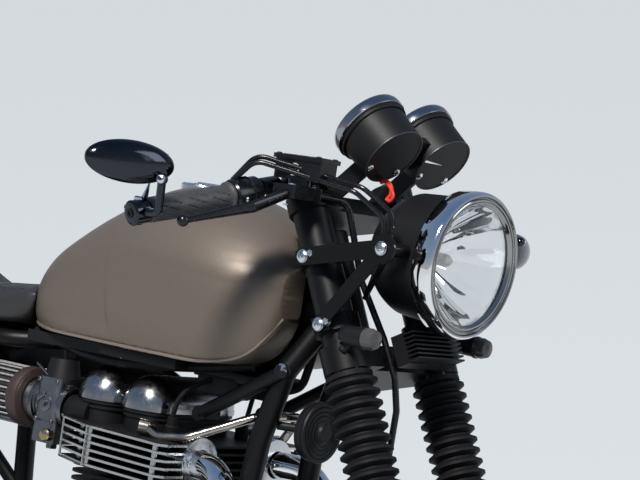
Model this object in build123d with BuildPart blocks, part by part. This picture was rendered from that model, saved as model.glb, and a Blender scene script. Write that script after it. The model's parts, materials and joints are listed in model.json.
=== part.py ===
from build123d import *
from math import asin, atan2, cos, degrees, hypot, pi, radians, sin, sqrt, tan
import os

os.makedirs("parts", exist_ok=True)

# Millimetres and degrees. The motorcycle is drawn upright: X is forward from the rear axle,
# Y is to the rider's left and Z is up. At the end every piece is leaned onto the side stand.

# Whole machine
LEAN = 13.0
WHEELBASE = 1486.0
RAKE = 27.0
HEAD_REACH = WHEELBASE + 101.0
FIT = 0.3

# Wheels: tyre radius, half width and crown drop, bead radius, half width between rim flanges
FRONT_TYRE = dict(outer=318.0, half=49.0, drop=33.0, bead=228.6, well=32.0)
REAR_TYRE = dict(outer=320.0, half=64.0, drop=42.0, bead=215.9, well=44.0)
RIM_WALL = 4.0
RIM_FLANGE = 13.0
SPOKES = 36
SPOKE_R = 2.0
AXLE_R = 12.0

# Fork
FORK_HALF = 98.0
TUBE_R = 20.5
SHROUD_R = 25.0
SLIDER_TOP = 612.0
GAITER_TOP = 850.0
LOWER_YOKE = 852.0
LOWER_YOKE_DEEP = 36.0
UPPER_YOKE = 1078.0
UPPER_YOKE_DEEP = 22.0
TUBE_TOP = 1132.0
STEM_R = 14.7
HEAD_R = 29.0

# Lamp and instruments
LAMP_R = 97.8
LAMP_AT = (HEAD_REACH - 231.6, 0.0, 946.6)
LAMP_TILT = 2.5
LAMP_DEEP = 150.0
GAUGE_R = 52.0
GAUGE_AT = (HEAD_REACH - 401.0, 55.0, 1114.5)
GAUGE_TILT = 36.87
GAUGE_DEEP = 66.0

# Frame and engine
SPINE_R = 21.0
RAIL_R = 15.5
RAIL_HALF = 60.0
PIVOT = (490.0, 0.0, 395.0)
CYLINDER_X = 875.0
BARREL_BOTTOM = 478.0
HEAD_BOTTOM = 585.0
FIN_TOP = 643.0
FIN_PITCH = 10.8
FIN_WALL = 3.2
CASE_HALF = 118.0

# Drive
CHAIN_Y = 80.0
CHAIN_PITCH = 15.875
REAR_TEETH = 48
FRONT_TEETH = 18
CHAIN_HALF = 8.0
SPROCKET_AT = (612.0, 384.0)


def axle_height(tyre):
    """Height of an axle above the ground under the upright tyre, once it leans."""
    crown = (tyre["half"] ** 2 + tyre["drop"] ** 2) / (2 * tyre["drop"])
    return tyre["outer"] - crown + crown / cos(radians(LEAN))


FRONT_H = axle_height(FRONT_TYRE)
REAR_H = axle_height(REAR_TYRE)

rake_cos = cos(radians(RAKE))
rake_sin = sin(radians(RAKE))
FORK = Plane(origin=(HEAD_REACH, 0, 0), x_dir=(rake_cos, 0, rake_sin), z_dir=(-rake_sin, 0, rake_cos))
FORK_SIDE = Plane(origin=FORK.origin, x_dir=FORK.x_dir, z_dir=(0, -1, 0))
AXLE_IN_FORK = FORK.to_local_coords(Vector(WHEELBASE, 0, FRONT_H))
LEG_X = AXLE_IN_FORK.X


def on_fork(forward, left, up):
    """Place in the fork's own frame, given in the motorcycle's frame."""
    return FORK.from_local_coords(Vector(forward, left, up))


def wheel_plane(x, height):
    """Plane across a wheel: its local x runs along the axle, its local y is the radius."""
    return Plane(origin=(x, 0, height), x_dir=(0, 1, 0), z_dir=(1, 0, 0))


def wheel_side(x, left, height):
    """Plane seen from the right side: its local x is forward, its local y is up."""
    return Plane(origin=(x, left, height), x_dir=(1, 0, 0), z_dir=(0, -1, 0))


FRONT_HUB = wheel_plane(WHEELBASE, FRONT_H)
REAR_HUB = wheel_plane(0, REAR_H)


def turned(plane, outline):
    """Body turned about a plane's local x axis, from points (along, radius)."""
    with BuildPart() as body:
        with BuildSketch(plane):
            with BuildLine():
                Polyline(*outline, close=True)
            make_face()
        revolve(axis=Axis(plane.origin, plane.x_dir))
    return body.part


def turned_on(start, toward, outline):
    """Body turned about the line from start toward a point, from points (along, radius)."""
    along = (Vector(toward) - Vector(start)).normalized()
    side = along.cross(Vector(0, 1, 0))
    if side.length < 0.1:
        side = along.cross(Vector(0, 0, 1))
    return turned(Plane(origin=start, x_dir=along, z_dir=side.normalized()), outline)


def rod(start, end, radius):
    """Straight round bar between two points."""
    along = Vector(end) - Vector(start)
    with BuildPart() as stick:
        with BuildSketch(Plane(origin=start, z_dir=along)):
            Circle(radius)
        extrude(amount=along.length)
    return stick.part


def bent(points, radius, bends):
    """Round bar along straight runs, with one bend radius for each corner."""
    with BuildPart() as run:
        with BuildLine() as path:
            FilletPolyline(*points, radius=bends)
        with BuildSketch(Plane(origin=path.line @ 0, z_dir=path.line % 0)):
            Circle(radius)
        sweep(path=path.line)
    return run.part


def slab(plane, outline, thick, corner=0.0):
    """Plate with a straight-sided outline, centred on a plane, with rounded corners."""
    with BuildPart() as plate:
        with BuildSketch(plane) as face:
            with BuildLine():
                Polyline(*outline, close=True)
            make_face()
            if corner:
                fillet(face.vertices(), corner)
        extrude(amount=thick / 2, both=True)
    return plate.part


def rounded_hull(stations):
    """Smooth body through cross sections along X.

    Each station is (x, half width, base z, widest z, top z, side radius). A section has a flat
    base, two side arcs and a top arc that meets them smoothly.
    """
    with BuildPart() as hull:
        for x, half, base, wide, top, side in stations:
            rise = top - wide
            inset = half - side
            crown = (side**2 - inset**2 - rise**2) / (2 * (side - rise))
            reach = hypot(inset, crown - rise)
            join_y = crown * inset / reach
            join_z = top - crown + crown * (crown - rise) / reach
            low = (half * 0.86, base)
            turn = atan2(join_z - wide, join_y - inset) / 2
            round_y = inset + side * cos(turn)
            round_z = wide + side * sin(turn)
            with BuildSketch(Plane(origin=(x, 0, 0), x_dir=(0, 1, 0), z_dir=(1, 0, 0))):
                with BuildLine():
                    Line((-low[0], base), low)
                    ThreePointArc(low, (half * 0.985, base + (wide - base) * 0.45), (half, wide))
                    ThreePointArc((half, wide), (round_y, round_z), (join_y, join_z))
                    ThreePointArc((join_y, join_z), (0, top), (-join_y, join_z))
                    ThreePointArc((-join_y, join_z), (-round_y, round_z), (-half, wide))
                    ThreePointArc((-half, wide), (-half * 0.985, base + (wide - base) * 0.45), (-low[0], base))
                make_face()
        loft()
    return hull.part


# Tyres and rims
def tyre_body(plane, outer, half, drop, bead, well):
    """Tyre ring with a round crown and bulging walls, seated on its rim."""
    lip = bead + RIM_FLANGE + 2
    wall_z = (outer - drop + lip) / 2
    with BuildPart() as ring:
        with BuildSketch(plane):
            with BuildLine():
                ThreePointArc((-half, outer - drop), (0, outer), (half, outer - drop))
                ThreePointArc((half, outer - drop), (half * 0.96, wall_z), (well, lip))
                Polyline((well, lip), (well, bead), (-well, bead), (-well, lip))
                ThreePointArc((-well, lip), (-half * 0.96, wall_z), (-half, outer - drop))
            make_face()
        revolve(axis=Axis(plane.origin, plane.x_dir))
    return ring.part


def rim_body(plane, bead, well):
    """Drop-centre rim with two flanges and a rounded underside."""
    inner = well + FIT
    outer = inner + RIM_WALL
    flange = bead + RIM_FLANGE
    with BuildPart() as hoop:
        with BuildSketch(plane):
            with BuildLine():
                Polyline((-outer, bead - 4), (-outer, flange), (-inner, flange), (-inner, bead - FIT))
                ThreePointArc((-inner, bead - FIT), (0, bead - 13), (inner, bead - FIT))
                Polyline((inner, bead - FIT), (inner, flange), (outer, flange), (outer, bead - 4))
                ThreePointArc((outer, bead - 4), (0, bead - 19), (-outer, bead - 4))
            make_face()
        revolve(axis=Axis(plane.origin, plane.x_dir))
    return hoop.part


with BuildPart() as front_tyre:
    add(tyre_body(FRONT_HUB, **FRONT_TYRE))

with BuildPart() as rear_tyre:
    add(tyre_body(REAR_HUB, **REAR_TYRE))

with BuildPart() as front_rim:
    add(rim_body(FRONT_HUB, FRONT_TYRE["bead"], FRONT_TYRE["well"]))

with BuildPart() as rear_rim:
    add(rim_body(REAR_HUB, REAR_TYRE["bead"], REAR_TYRE["well"]))


def wheel_point(plane, along, radius, angle):
    """Point of a wheel at a radius and an angle round its axle."""
    return plane.from_local_coords(Vector(along, radius * cos(radians(angle)), radius * sin(radians(angle))))


def spoke_set(plane, bead, flange_y, flange_r, count):
    """Crossed round spokes from two hub flanges to the rim."""
    per_side = count // 2
    cross = 52.0
    rim_r = bead - 19 - FIT
    spokes = []
    for side in (-1, 1):
        for number in range(per_side):
            hub_angle = (number + side * 0.25) * 360 / per_side
            lead = 1 if number % 2 else -1
            outboard = side * (flange_y + 3.2 * lead)
            start = wheel_point(plane, outboard, flange_r - 2, hub_angle)
            end = wheel_point(plane, side * 9, rim_r, hub_angle + lead * cross)
            spokes.append(rod(start, end, SPOKE_R))
    return spokes


# Front wheel: hub with two spoke flanges, seat for the brake disc on the right
FRONT_FLANGE_Y = 31.0
FRONT_FLANGE_R = 44.0
DISC_Y = 62.0
DISC_WALL = 5.0
HUB_END = 71.0
with BuildPart() as front_spokes:
    add(turned(FRONT_HUB, [
        (-DISC_Y + DISC_WALL / 2, AXLE_R + FIT), (-DISC_Y + DISC_WALL / 2, 34), (-40, 30), (-36, FRONT_FLANGE_R + 6),
        (-29, FRONT_FLANGE_R + 6), (-25, 27), (25, 27), (29, FRONT_FLANGE_R + 6), (36, FRONT_FLANGE_R + 6),
        (40, 30), (56, 26), (HUB_END, 22), (HUB_END, AXLE_R + FIT),
    ]))
    add(spoke_set(FRONT_HUB, FRONT_TYRE["bead"], FRONT_FLANGE_Y, FRONT_FLANGE_R, SPOKES))

DISC_R = 160.0
DISC_IN = 122.0
with BuildPart() as front_disc:
    with BuildSketch(wheel_side(WHEELBASE, -DISC_Y, FRONT_H)):
        Circle(DISC_R)
        Circle(DISC_IN, mode=Mode.SUBTRACT)
        with PolarLocations(0, 5):
            with Locations((DISC_IN / 2 + 16, 0)):
                Rectangle(DISC_IN - 28, 22)
        Circle(36)
        Circle(AXLE_R + FIT, mode=Mode.SUBTRACT)
        for ring, turn in ((134, 0), (148, 7.5)):
            with PolarLocations(ring, 24, start_angle=turn):
                Circle(3.5, mode=Mode.SUBTRACT)
    extrude(amount=DISC_WALL / 2, both=True)

# Rear wheel: drum-like cush hub, disc on the right, toothed sprocket on the left
REAR_FLANGE_Y = 36.0
REAR_FLANGE_R = 62.0
REAR_DISC_Y = 84.0
REAR_DISC_R = 127.5
SPROCKET_WALL = 7.0
with BuildPart() as rear_spokes:
    add(turned(REAR_HUB, [
        (-REAR_DISC_Y + DISC_WALL / 2, AXLE_R + FIT), (-REAR_DISC_Y + DISC_WALL / 2, 40), (-46, 40),
        (-41, REAR_FLANGE_R + 6), (-33, REAR_FLANGE_R + 6), (-29, 44), (29, 44), (33, REAR_FLANGE_R + 6),
        (41, REAR_FLANGE_R + 6), (46, 62), (CHAIN_Y - SPROCKET_WALL / 2, 62),
        (CHAIN_Y - SPROCKET_WALL / 2, AXLE_R + FIT),
    ]))
    add(spoke_set(REAR_HUB, REAR_TYRE["bead"], REAR_FLANGE_Y, REAR_FLANGE_R, SPOKES))

sprocket_r = CHAIN_PITCH / (2 * sin(pi / REAR_TEETH))
with BuildPart() as rear_disc:
    with BuildSketch(wheel_side(0, -REAR_DISC_Y, REAR_H)):
        Circle(REAR_DISC_R)
        with PolarLocations(68, 6):
            Circle(20, mode=Mode.SUBTRACT)
        with PolarLocations(112, 24):
            Circle(3.5, mode=Mode.SUBTRACT)
        Circle(AXLE_R + FIT, mode=Mode.SUBTRACT)
    extrude(amount=DISC_WALL / 2, both=True)

with BuildPart() as sprocket:
    with BuildSketch(wheel_side(0, CHAIN_Y, REAR_H)):
        Circle(sprocket_r - 12)
        with PolarLocations(sprocket_r - 12.5, REAR_TEETH):
            Trapezoid(8, 6, 65, rotation=-90, align=(Align.CENTER, Align.MIN))
        with PolarLocations(74, 6):
            Circle(15, mode=Mode.SUBTRACT)
        Circle(AXLE_R + FIT, mode=Mode.SUBTRACT)
    extrude(amount=SPROCKET_WALL / 2, both=True)

# Fork: stanchions, rubber gaiters, sliders and the two yokes
with BuildPart() as fork_tubes:
    with BuildSketch(FORK.offset(SLIDER_TOP)):
        with Locations((LEG_X, -FORK_HALF), (LEG_X, FORK_HALF)):
            Circle(TUBE_R)
    extrude(amount=TUBE_TOP - SLIDER_TOP)
    chamfer(fork_tubes.faces().sort_by(Axis(FORK.origin, FORK.z_dir))[-2:].edges(), 2.5)

leg_side = Plane(origin=on_fork(LEG_X, -FORK_HALF, 0), x_dir=FORK.z_dir, z_dir=(0, 1, 0))
SLIDER_R = 27.0
GAITER_R = 36.0
GAITER_PITCH = 15.6
with BuildPart() as fork_sliders:
    foot = AXLE_IN_FORK.Z
    with BuildSketch(wheel_side(WHEELBASE, -FORK_HALF, FRONT_H)):
        Circle(SLIDER_R + 1)
    extrude(amount=SLIDER_R - 3, both=True)
    add(turned(leg_side, [
        (foot - 20, 0), (foot - 20, SLIDER_R - 4), (foot + 46, SLIDER_R - 2), (SLIDER_TOP - 60, SLIDER_R - 1),
        (SLIDER_TOP - 40, SLIDER_R + 2), (SLIDER_TOP, SLIDER_R + 2), (SLIDER_TOP, 0),
    ]))
    mirror(about=Plane.XZ)
    with BuildSketch(wheel_side(WHEELBASE, 0, FRONT_H)):
        Circle(AXLE_R)
    extrude(amount=FORK_HALF + 34, both=True)

with BuildPart() as fork_gaiters:
    pleats = int((GAITER_TOP - SLIDER_TOP - 14) / GAITER_PITCH)
    outline = [(SLIDER_TOP + FIT, TUBE_R + FIT), (SLIDER_TOP + FIT, 31), (SLIDER_TOP + 12, 31)]
    for number in range(pleats):
        low = SLIDER_TOP + 13 + number * GAITER_PITCH
        outline += [(low + 1, 28), (low + 6, GAITER_R), (low + 9.5, GAITER_R), (low + 14.5, 28)]
    outline += [(GAITER_TOP - 5, 30), (GAITER_TOP, 30), (GAITER_TOP, TUBE_R + FIT)]
    add(turned(leg_side, outline))
    mirror(about=Plane.XZ)


def yoke(height, deep, clamp_r, stem_hub):
    """Clamp plate across both fork tubes and the stem."""
    with BuildPart() as plate:
        with BuildSketch(FORK.offset(height)):
            with Locations((LEG_X, -FORK_HALF), (LEG_X, FORK_HALF)):
                Circle(clamp_r)
            Circle(stem_hub)
            make_hull()
            with Locations((LEG_X, -FORK_HALF), (LEG_X, FORK_HALF)):
                Circle(TUBE_R + FIT / 2, mode=Mode.SUBTRACT)
        extrude(amount=deep)
        with BuildSketch(FORK.offset(height)):
            with Locations((LEG_X + 38, 0)):
                Rectangle(44, 2 * FORK_HALF - 2 * clamp_r - 14)
        extrude(amount=deep, mode=Mode.SUBTRACT)
    return plate.part


with BuildPart() as fork_yokes:
    add(yoke(LOWER_YOKE, LOWER_YOKE_DEEP, 32, 30))
    add(yoke(UPPER_YOKE, UPPER_YOKE_DEEP, 30, 26))
    with BuildSketch(FORK.offset(LOWER_YOKE + LOWER_YOKE_DEEP)):
        with Locations((LEG_X, -FORK_HALF), (LEG_X, FORK_HALF)):
            Circle(SHROUD_R)
            Circle(TUBE_R + FIT / 2, mode=Mode.SUBTRACT)
    extrude(amount=UPPER_YOKE - LOWER_YOKE - LOWER_YOKE_DEEP)
    with BuildSketch(FORK.offset(LOWER_YOKE - 4)):
        Circle(STEM_R)
    extrude(amount=UPPER_YOKE + UPPER_YOKE_DEEP + 12 - LOWER_YOKE + 4)
    with BuildSketch(FORK.offset(UPPER_YOKE + UPPER_YOKE_DEEP)):
        RegularPolygon(19, 6)
    extrude(amount=14)

# Headlight: bowl, bright rim, faceted reflector and domed glass, held by plates off the fork
lamp_cos = cos(radians(LAMP_TILT))
lamp_sin = sin(radians(LAMP_TILT))
LAMP = Plane(origin=LAMP_AT, x_dir=(lamp_cos, 0, -lamp_sin), z_dir=(0, -1, 0))
BOWL_R = 88.0
with BuildPart() as headlight_bowl:
    for wall, mode in ((0, Mode.ADD), (3, Mode.SUBTRACT)):
        with BuildSketch(LAMP):
            with BuildLine():
                Polyline((-31, 0), (-31, BOWL_R - wall), (-96, BOWL_R - 5 - wall))
                ThreePointArc((-96, BOWL_R - 5 - wall), (-134 + wall, BOWL_R - 32 - wall), (-LAMP_DEEP + wall, 20))
                Polyline((-LAMP_DEEP + wall, 20), (-LAMP_DEEP + wall, 0), (-31, 0))
            make_face()
        revolve(axis=Axis(LAMP.origin, LAMP.x_dir), mode=mode)

with BuildPart() as headlight_rim:
    with BuildSketch(LAMP):
        with BuildLine():
            Line((-31, BOWL_R + FIT), (-31, LAMP_R - 1))
            ThreePointArc((-31, LAMP_R - 1), (-12, LAMP_R + 1.5), (0, LAMP_R - 3))
            ThreePointArc((0, LAMP_R - 3), (1.5, LAMP_R - 8), (-3, BOWL_R - 2))
            Polyline((-3, BOWL_R - 2), (-7, BOWL_R - 2), (-7, LAMP_R - 5), (-24, LAMP_R - 5),
                     (-24, BOWL_R + FIT), (-31, BOWL_R + FIT))
        make_face()
    revolve(axis=Axis(LAMP.origin, LAMP.x_dir))

GLASS_R = BOWL_R + 3
GLASS_WALL = 3.0
DOME_R = BOWL_R - 3.5
DOME_RISE = 15.0
dome_ball = (DOME_R**2 + DOME_RISE**2) / (2 * DOME_RISE)
with BuildPart() as headlight_lens:
    seat_x = -7 - FIT
    ball_x = seat_x + DOME_RISE - dome_ball
    bend = asin(DOME_R / dome_ball) / 2
    inner_ball = dome_ball - GLASS_WALL
    inner_r = sqrt(inner_ball**2 - (seat_x - GLASS_WALL - ball_x) ** 2)
    inner_bend = asin(inner_r / inner_ball) / 2
    with BuildSketch(LAMP):
        with BuildLine():
            ThreePointArc((seat_x + DOME_RISE, 0), (ball_x + dome_ball * cos(bend), dome_ball * sin(bend)), (seat_x, DOME_R))
            Polyline((seat_x, DOME_R), (seat_x, GLASS_R), (seat_x - GLASS_WALL, GLASS_R), (seat_x - GLASS_WALL, inner_r))
            ThreePointArc((seat_x - GLASS_WALL, inner_r),
                          (ball_x + inner_ball * cos(inner_bend), inner_ball * sin(inner_bend)), (ball_x + inner_ball, 0))
            Line((ball_x + inner_ball, 0), (seat_x + DOME_RISE, 0))
        make_face()
    revolve(axis=Axis(LAMP.origin, LAMP.x_dir))

with BuildPart() as headlight_reflector:
    with BuildSketch(LAMP):
        with BuildLine():
            Line((-12, GLASS_R), (-14, GLASS_R))
            Line((-14, GLASS_R), (-16, BOWL_R - 5))
            ThreePointArc((-16, BOWL_R - 5), (-58, 54), (-84, 14))
            Line((-84, 14), (-82, 13))
            ThreePointArc((-82, 13), (-56, 52), (-13, BOWL_R - 7))
            Line((-13, BOWL_R - 7), (-12, GLASS_R))
        make_face()
    revolve(axis=Axis(LAMP.origin, LAMP.x_dir))
    add(turned(LAMP, [(-90, 0), (-90, 16), (-83, 16), (-82, 8), (-50, 8), (-44, 5), (-42, 0)]))

BRACKET_Y = 134.0
BRACKET_WALL = 4.0
LAMP_BOLT = (181.0, 978.0)
# Arms of one lamp bracket in the fork's frame: forward and up of the clamp, arm width
BRACKET_ARMS = [(54, 1013, 24), (54, 918, 20)]
with BuildPart() as headlight_brackets:
    for forward, height, wide in BRACKET_ARMS:
        run = Vector(LAMP_BOLT[0] - forward, LAMP_BOLT[1] - height)
        middle = ((forward + LAMP_BOLT[0]) / 2, (height + LAMP_BOLT[1]) / 2, 0)
        with BuildSketch(FORK_SIDE.offset(BRACKET_Y)):
            with Locations(Location(middle, (0, 0, degrees(atan2(run.Y, run.X))))):
                SlotCenterToCenter(run.length, wide)
            with Locations(LAMP_BOLT):
                Circle(20)
        extrude(amount=BRACKET_WALL)
        with BuildSketch(FORK.offset(height - 11)):
            with Locations((LEG_X, -FORK_HALF)):
                Circle(SHROUD_R + 6)
            with Locations((LEG_X, -FORK_HALF - 24)):
                Rectangle(26, 25)
            with Locations((LEG_X, -FORK_HALF)):
                Circle(SHROUD_R + FIT / 2, mode=Mode.SUBTRACT)
        extrude(amount=22)
    lamp_side = on_fork(LAMP_BOLT[0], -BRACKET_Y, LAMP_BOLT[1])
    add(rod((lamp_side.X, -BRACKET_Y - 6, lamp_side.Z), (lamp_side.X, -BOWL_R + 0.9, lamp_side.Z), 9))
    mirror(about=Plane.XZ)

# Instruments: two tapered cans with bright bezels on a bracket from the upper yoke
gauge_cos = cos(radians(GAUGE_TILT))
gauge_sin = sin(radians(GAUGE_TILT))


def gauge_plane(side):
    """Plane along one instrument's axis, out of its dial."""
    return Plane(origin=(GAUGE_AT[0], side * GAUGE_AT[1], GAUGE_AT[2]), x_dir=(-gauge_cos, 0, gauge_sin),
                 z_dir=(0, 1, 0))


CAN_R = GAUGE_R - 3.5
CAN_TAPER = 4.0
with BuildPart() as gauge_cans:
    for side in (-1, 1):
        with BuildSketch(gauge_plane(side)):
            with BuildLine():
                Polyline((-3, 0), (-3, GAUGE_R - 4), (-12, GAUGE_R - 4), (-12, CAN_R), (-17, CAN_R), (-17, CAN_R - 1.5),
                         (-GAUGE_DEEP, CAN_R - CAN_TAPER), (-GAUGE_DEEP, CAN_R - CAN_TAPER - 3),
                         (-GAUGE_DEEP + 3, CAN_R - CAN_TAPER - 4), (-GAUGE_DEEP + 3, 0), close=True)
            make_face()
        revolve(axis=Axis(gauge_plane(side).origin, gauge_plane(side).x_dir))
    low = gauge_plane(1).from_local_coords(Vector(-GAUGE_DEEP + 18, 0, 0))
    with BuildSketch(Plane(origin=(low.X, 0, low.Z), x_dir=(0, 1, 0), z_dir=(-gauge_cos, 0, gauge_sin))):
        Rectangle(2 * GAUGE_AT[1], 46)
    extrude(amount=6, both=True)
    for left in (-GAUGE_AT[1], GAUGE_AT[1]):
        foot = on_fork(LEG_X - 8, left, UPPER_YOKE + UPPER_YOKE_DEEP)
        head = gauge_plane(1).from_local_coords(Vector(-GAUGE_DEEP + 26, -CAN_R + 16, 0))
        leg = Vector(head.X - foot.X, head.Z - foot.Z)
        with BuildSketch(Plane(origin=((head.X + foot.X) / 2, left, (head.Z + foot.Z) / 2), x_dir=(1, 0, 0), z_dir=(0, -1, 0))):
            Rectangle(leg.length, 26, rotation=degrees(atan2(leg.Y, leg.X)))
        extrude(amount=3, both=True)
    add(fork_yokes.part, mode=Mode.SUBTRACT)

with BuildPart() as gauge_rims:
    for side in (-1, 1):
        add(turned(gauge_plane(side), [
            (-12 + FIT, GAUGE_R - 4 + FIT), (-12 + FIT, GAUGE_R - 1), (-9, GAUGE_R), (-3, GAUGE_R), (2, GAUGE_R - 3),
            (2, 0), (-3 + FIT, 0), (-3 + FIT, GAUGE_R - 4 + FIT),
        ]))

# Handlebars: one clip-on each side, with rubber grip, perch, lever and bar-end mirror
BAR_R = 11.0
BAR_IN = on_fork(LEG_X, 0, UPPER_YOKE + 41)
BAR_ROOT = (BAR_IN.X, -FORK_HALF, BAR_IN.Z)
BAR_END = (BAR_IN.X - 50, -372.0, BAR_IN.Z - 70)
bar_along = (Vector(BAR_END) - Vector(BAR_ROOT)).normalized()


def along_bar(distance):
    """Point on the right handlebar's line, measured out from the fork tube."""
    return Vector(BAR_ROOT) + bar_along * distance


GRIP_IN = 128.0
GRIP_OUT = 262.0
BAR_LENGTH = (Vector(BAR_END) - Vector(BAR_ROOT)).length
with BuildPart() as handlebars:
    with BuildSketch(FORK.offset(UPPER_YOKE + 28)):
        with Locations((LEG_X, -FORK_HALF)):
            Circle(TUBE_R + 9)
            Circle(TUBE_R + FIT / 2, mode=Mode.SUBTRACT)
    extrude(amount=26)
    add(rod(along_bar(TUBE_R + 5), along_bar(GRIP_OUT + 3), BAR_R))
    mirror(about=Plane.XZ)

with BuildPart() as grips:
    add(turned_on(along_bar(GRIP_IN), BAR_END, [
        (0, BAR_R + FIT), (0, 19.5), (5, 19.5), (7, 16.5), (GRIP_OUT - GRIP_IN, 16.5), (GRIP_OUT - GRIP_IN, BAR_R + FIT),
    ]))
    mirror(about=Plane.XZ)

with BuildPart() as bar_controls:
    add(turned_on(along_bar(GRIP_IN - 46), BAR_END, [
        (0, BAR_R + FIT), (0, 19), (4, 22), (42, 22), (45, 20), (45, BAR_R + FIT),
    ]))
    add(turned_on(along_bar(GRIP_IN - 78), BAR_END, [(0, BAR_R + FIT), (0, 18), (28, 18), (28, BAR_R + FIT)]))
    perch = along_bar(GRIP_IN - 64) + Vector(38, 0, 3)
    add(rod((along_bar(GRIP_IN - 64) + Vector(14, 0, 0)), perch, 10))
    add(slab(Plane(origin=perch, x_dir=(1, 0, 0), z_dir=(0, 0, 1)), [(-12, -24), (26, -24), (30, 34), (-6, 34)], 18, 5))
    lever_root = perch + Vector(16, -8, 2)
    lever_mid = along_bar(GRIP_IN) + Vector(58, -16, -8)
    lever_tip = along_bar(GRIP_OUT - 18) + Vector(46, 0, -10)
    with BuildPart(mode=Mode.PRIVATE) as blade:
        with BuildSketch(Plane(origin=lever_root, z_dir=lever_mid - lever_root)):
            Ellipse(7, 5)
        with BuildSketch(Plane(origin=lever_mid, z_dir=lever_tip - lever_root)):
            Ellipse(8, 4.5)
        with BuildSketch(Plane(origin=lever_tip, z_dir=lever_tip - lever_mid)):
            Ellipse(6, 4)
        loft(ruled=True)
    add(blade.part)
    with Locations(lever_tip):
        Sphere(8)
    mirror(about=Plane.XZ)
    tank_at = perch + Vector(12, 12, 33)
    add(rod(perch + Vector(10, 6, 6), perch + Vector(10, 6, 20), 15))
    with BuildSketch(Plane(origin=tank_at, x_dir=(1, 0, 0), z_dir=(0, 0, 1)).offset(-17 + FIT)):
        RectangleRounded(78, 44, 8)
    extrude(amount=26)
    with BuildSketch(Plane(origin=tank_at, x_dir=(1, 0, 0), z_dir=(0, 0, 1)).offset(9 + FIT)):
        RectangleRounded(84, 50, 9)
    extrude(amount=6)
    for other in (fork_yokes, handlebars):
        add(other.part, mode=Mode.SUBTRACT)

MIRROR_TURN = 20.0
MIRROR_WIDE = 62.0
MIRROR_TALL = 27.0
MIRROR_DOME = 17.0
# Mirrors from their bar ends: side, forward, outward and up to the glass's middle
MIRRORS = [(-1, 28, 68, 59), (1, 48, 68, 13)]
with BuildPart() as bar_end_mirrors:
    for side, forward, outward, up in MIRRORS:
        clamp_at = along_bar(GRIP_OUT + 3 + FIT)
        clamp_at = Vector(clamp_at.X, -side * clamp_at.Y, clamp_at.Z)
        bar_run = Vector(bar_along.X, -side * bar_along.Y, bar_along.Z)
        add(turned_on(clamp_at, clamp_at + bar_run, [(0, 0), (0, 16), (20, 16), (22, 13), (22, 0)]))
        middle = Vector(clamp_at.X + forward, clamp_at.Y + side * outward, clamp_at.Z + up)
        turn = radians(MIRROR_TURN)
        glass = Plane(origin=middle, x_dir=(sin(turn), -side * cos(turn), 0), z_dir=(cos(turn), side * sin(turn), 0))
        for low, high in ((0, 0.4), (0.4, 0.7), (0.7, 0.88), (0.88, 0.97)):
            for part in (low, high):
                with BuildSketch(glass.offset(MIRROR_DOME * part)):
                    Ellipse(MIRROR_WIDE * sqrt(1 - part**2), MIRROR_TALL * sqrt(1 - part**2))
            loft()
        with BuildSketch(glass):
            Ellipse(MIRROR_WIDE, MIRROR_TALL)
        with BuildSketch(glass.offset(-6)):
            Ellipse(MIRROR_WIDE - 2, MIRROR_TALL - 2)
        loft()
        stem_foot = clamp_at + bar_run * 11
        ball = glass.from_local_coords(Vector(40, -16, 15))
        elbow = Vector(max(stem_foot.X + 30, ball.X - 18), stem_foot.Y + side * 4, stem_foot.Z + 3)
        add(bent([stem_foot, elbow, ball], 5.5, [10]))
        add(rod(ball, glass.from_local_coords(Vector(36, -8, 2)), 5))
        with Locations(ball):
            Sphere(7.5)

# Front lamps' neighbours: indicators, finned block, mudguard, caliper
with BuildPart() as indicators_front:
    stalk_end = (HEAD_REACH - 331, -126.0, 835.0)
    add(turned_on(stalk_end, (HEAD_REACH - 276, -126.0, 835.0), [
        (-8, 0), (-6, 8), (4, 13), (44, 14.5), (52, 12), (55, 0),
    ]))
    add(rod((HEAD_REACH - 325, -118.0, 832.0), (HEAD_REACH - 333, -FORK_HALF - TUBE_R - 6, 814.0), 6))
    mirror(about=Plane.XZ)
    add(fork_yokes.part, mode=Mode.SUBTRACT)

with BuildPart() as regulator:
    block = Plane(origin=on_fork(112, 0, 862), x_dir=FORK.x_dir, z_dir=FORK.z_dir)
    with BuildSketch(block.offset(-16)):
        Rectangle(20, 104)
    extrude(amount=42)
    for number in range(7):
        with BuildSketch(block.offset(-14 + number * 6)):
            with Locations((18, 0)):
                Rectangle(18, 104)
        extrude(amount=2.2)
    with BuildSketch(block.offset(8)):
        with Locations((-34, -30), (-34, 30)):
            Rectangle(50, 16)
    extrude(amount=5)
    add(fork_yokes.part, mode=Mode.SUBTRACT)

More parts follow.
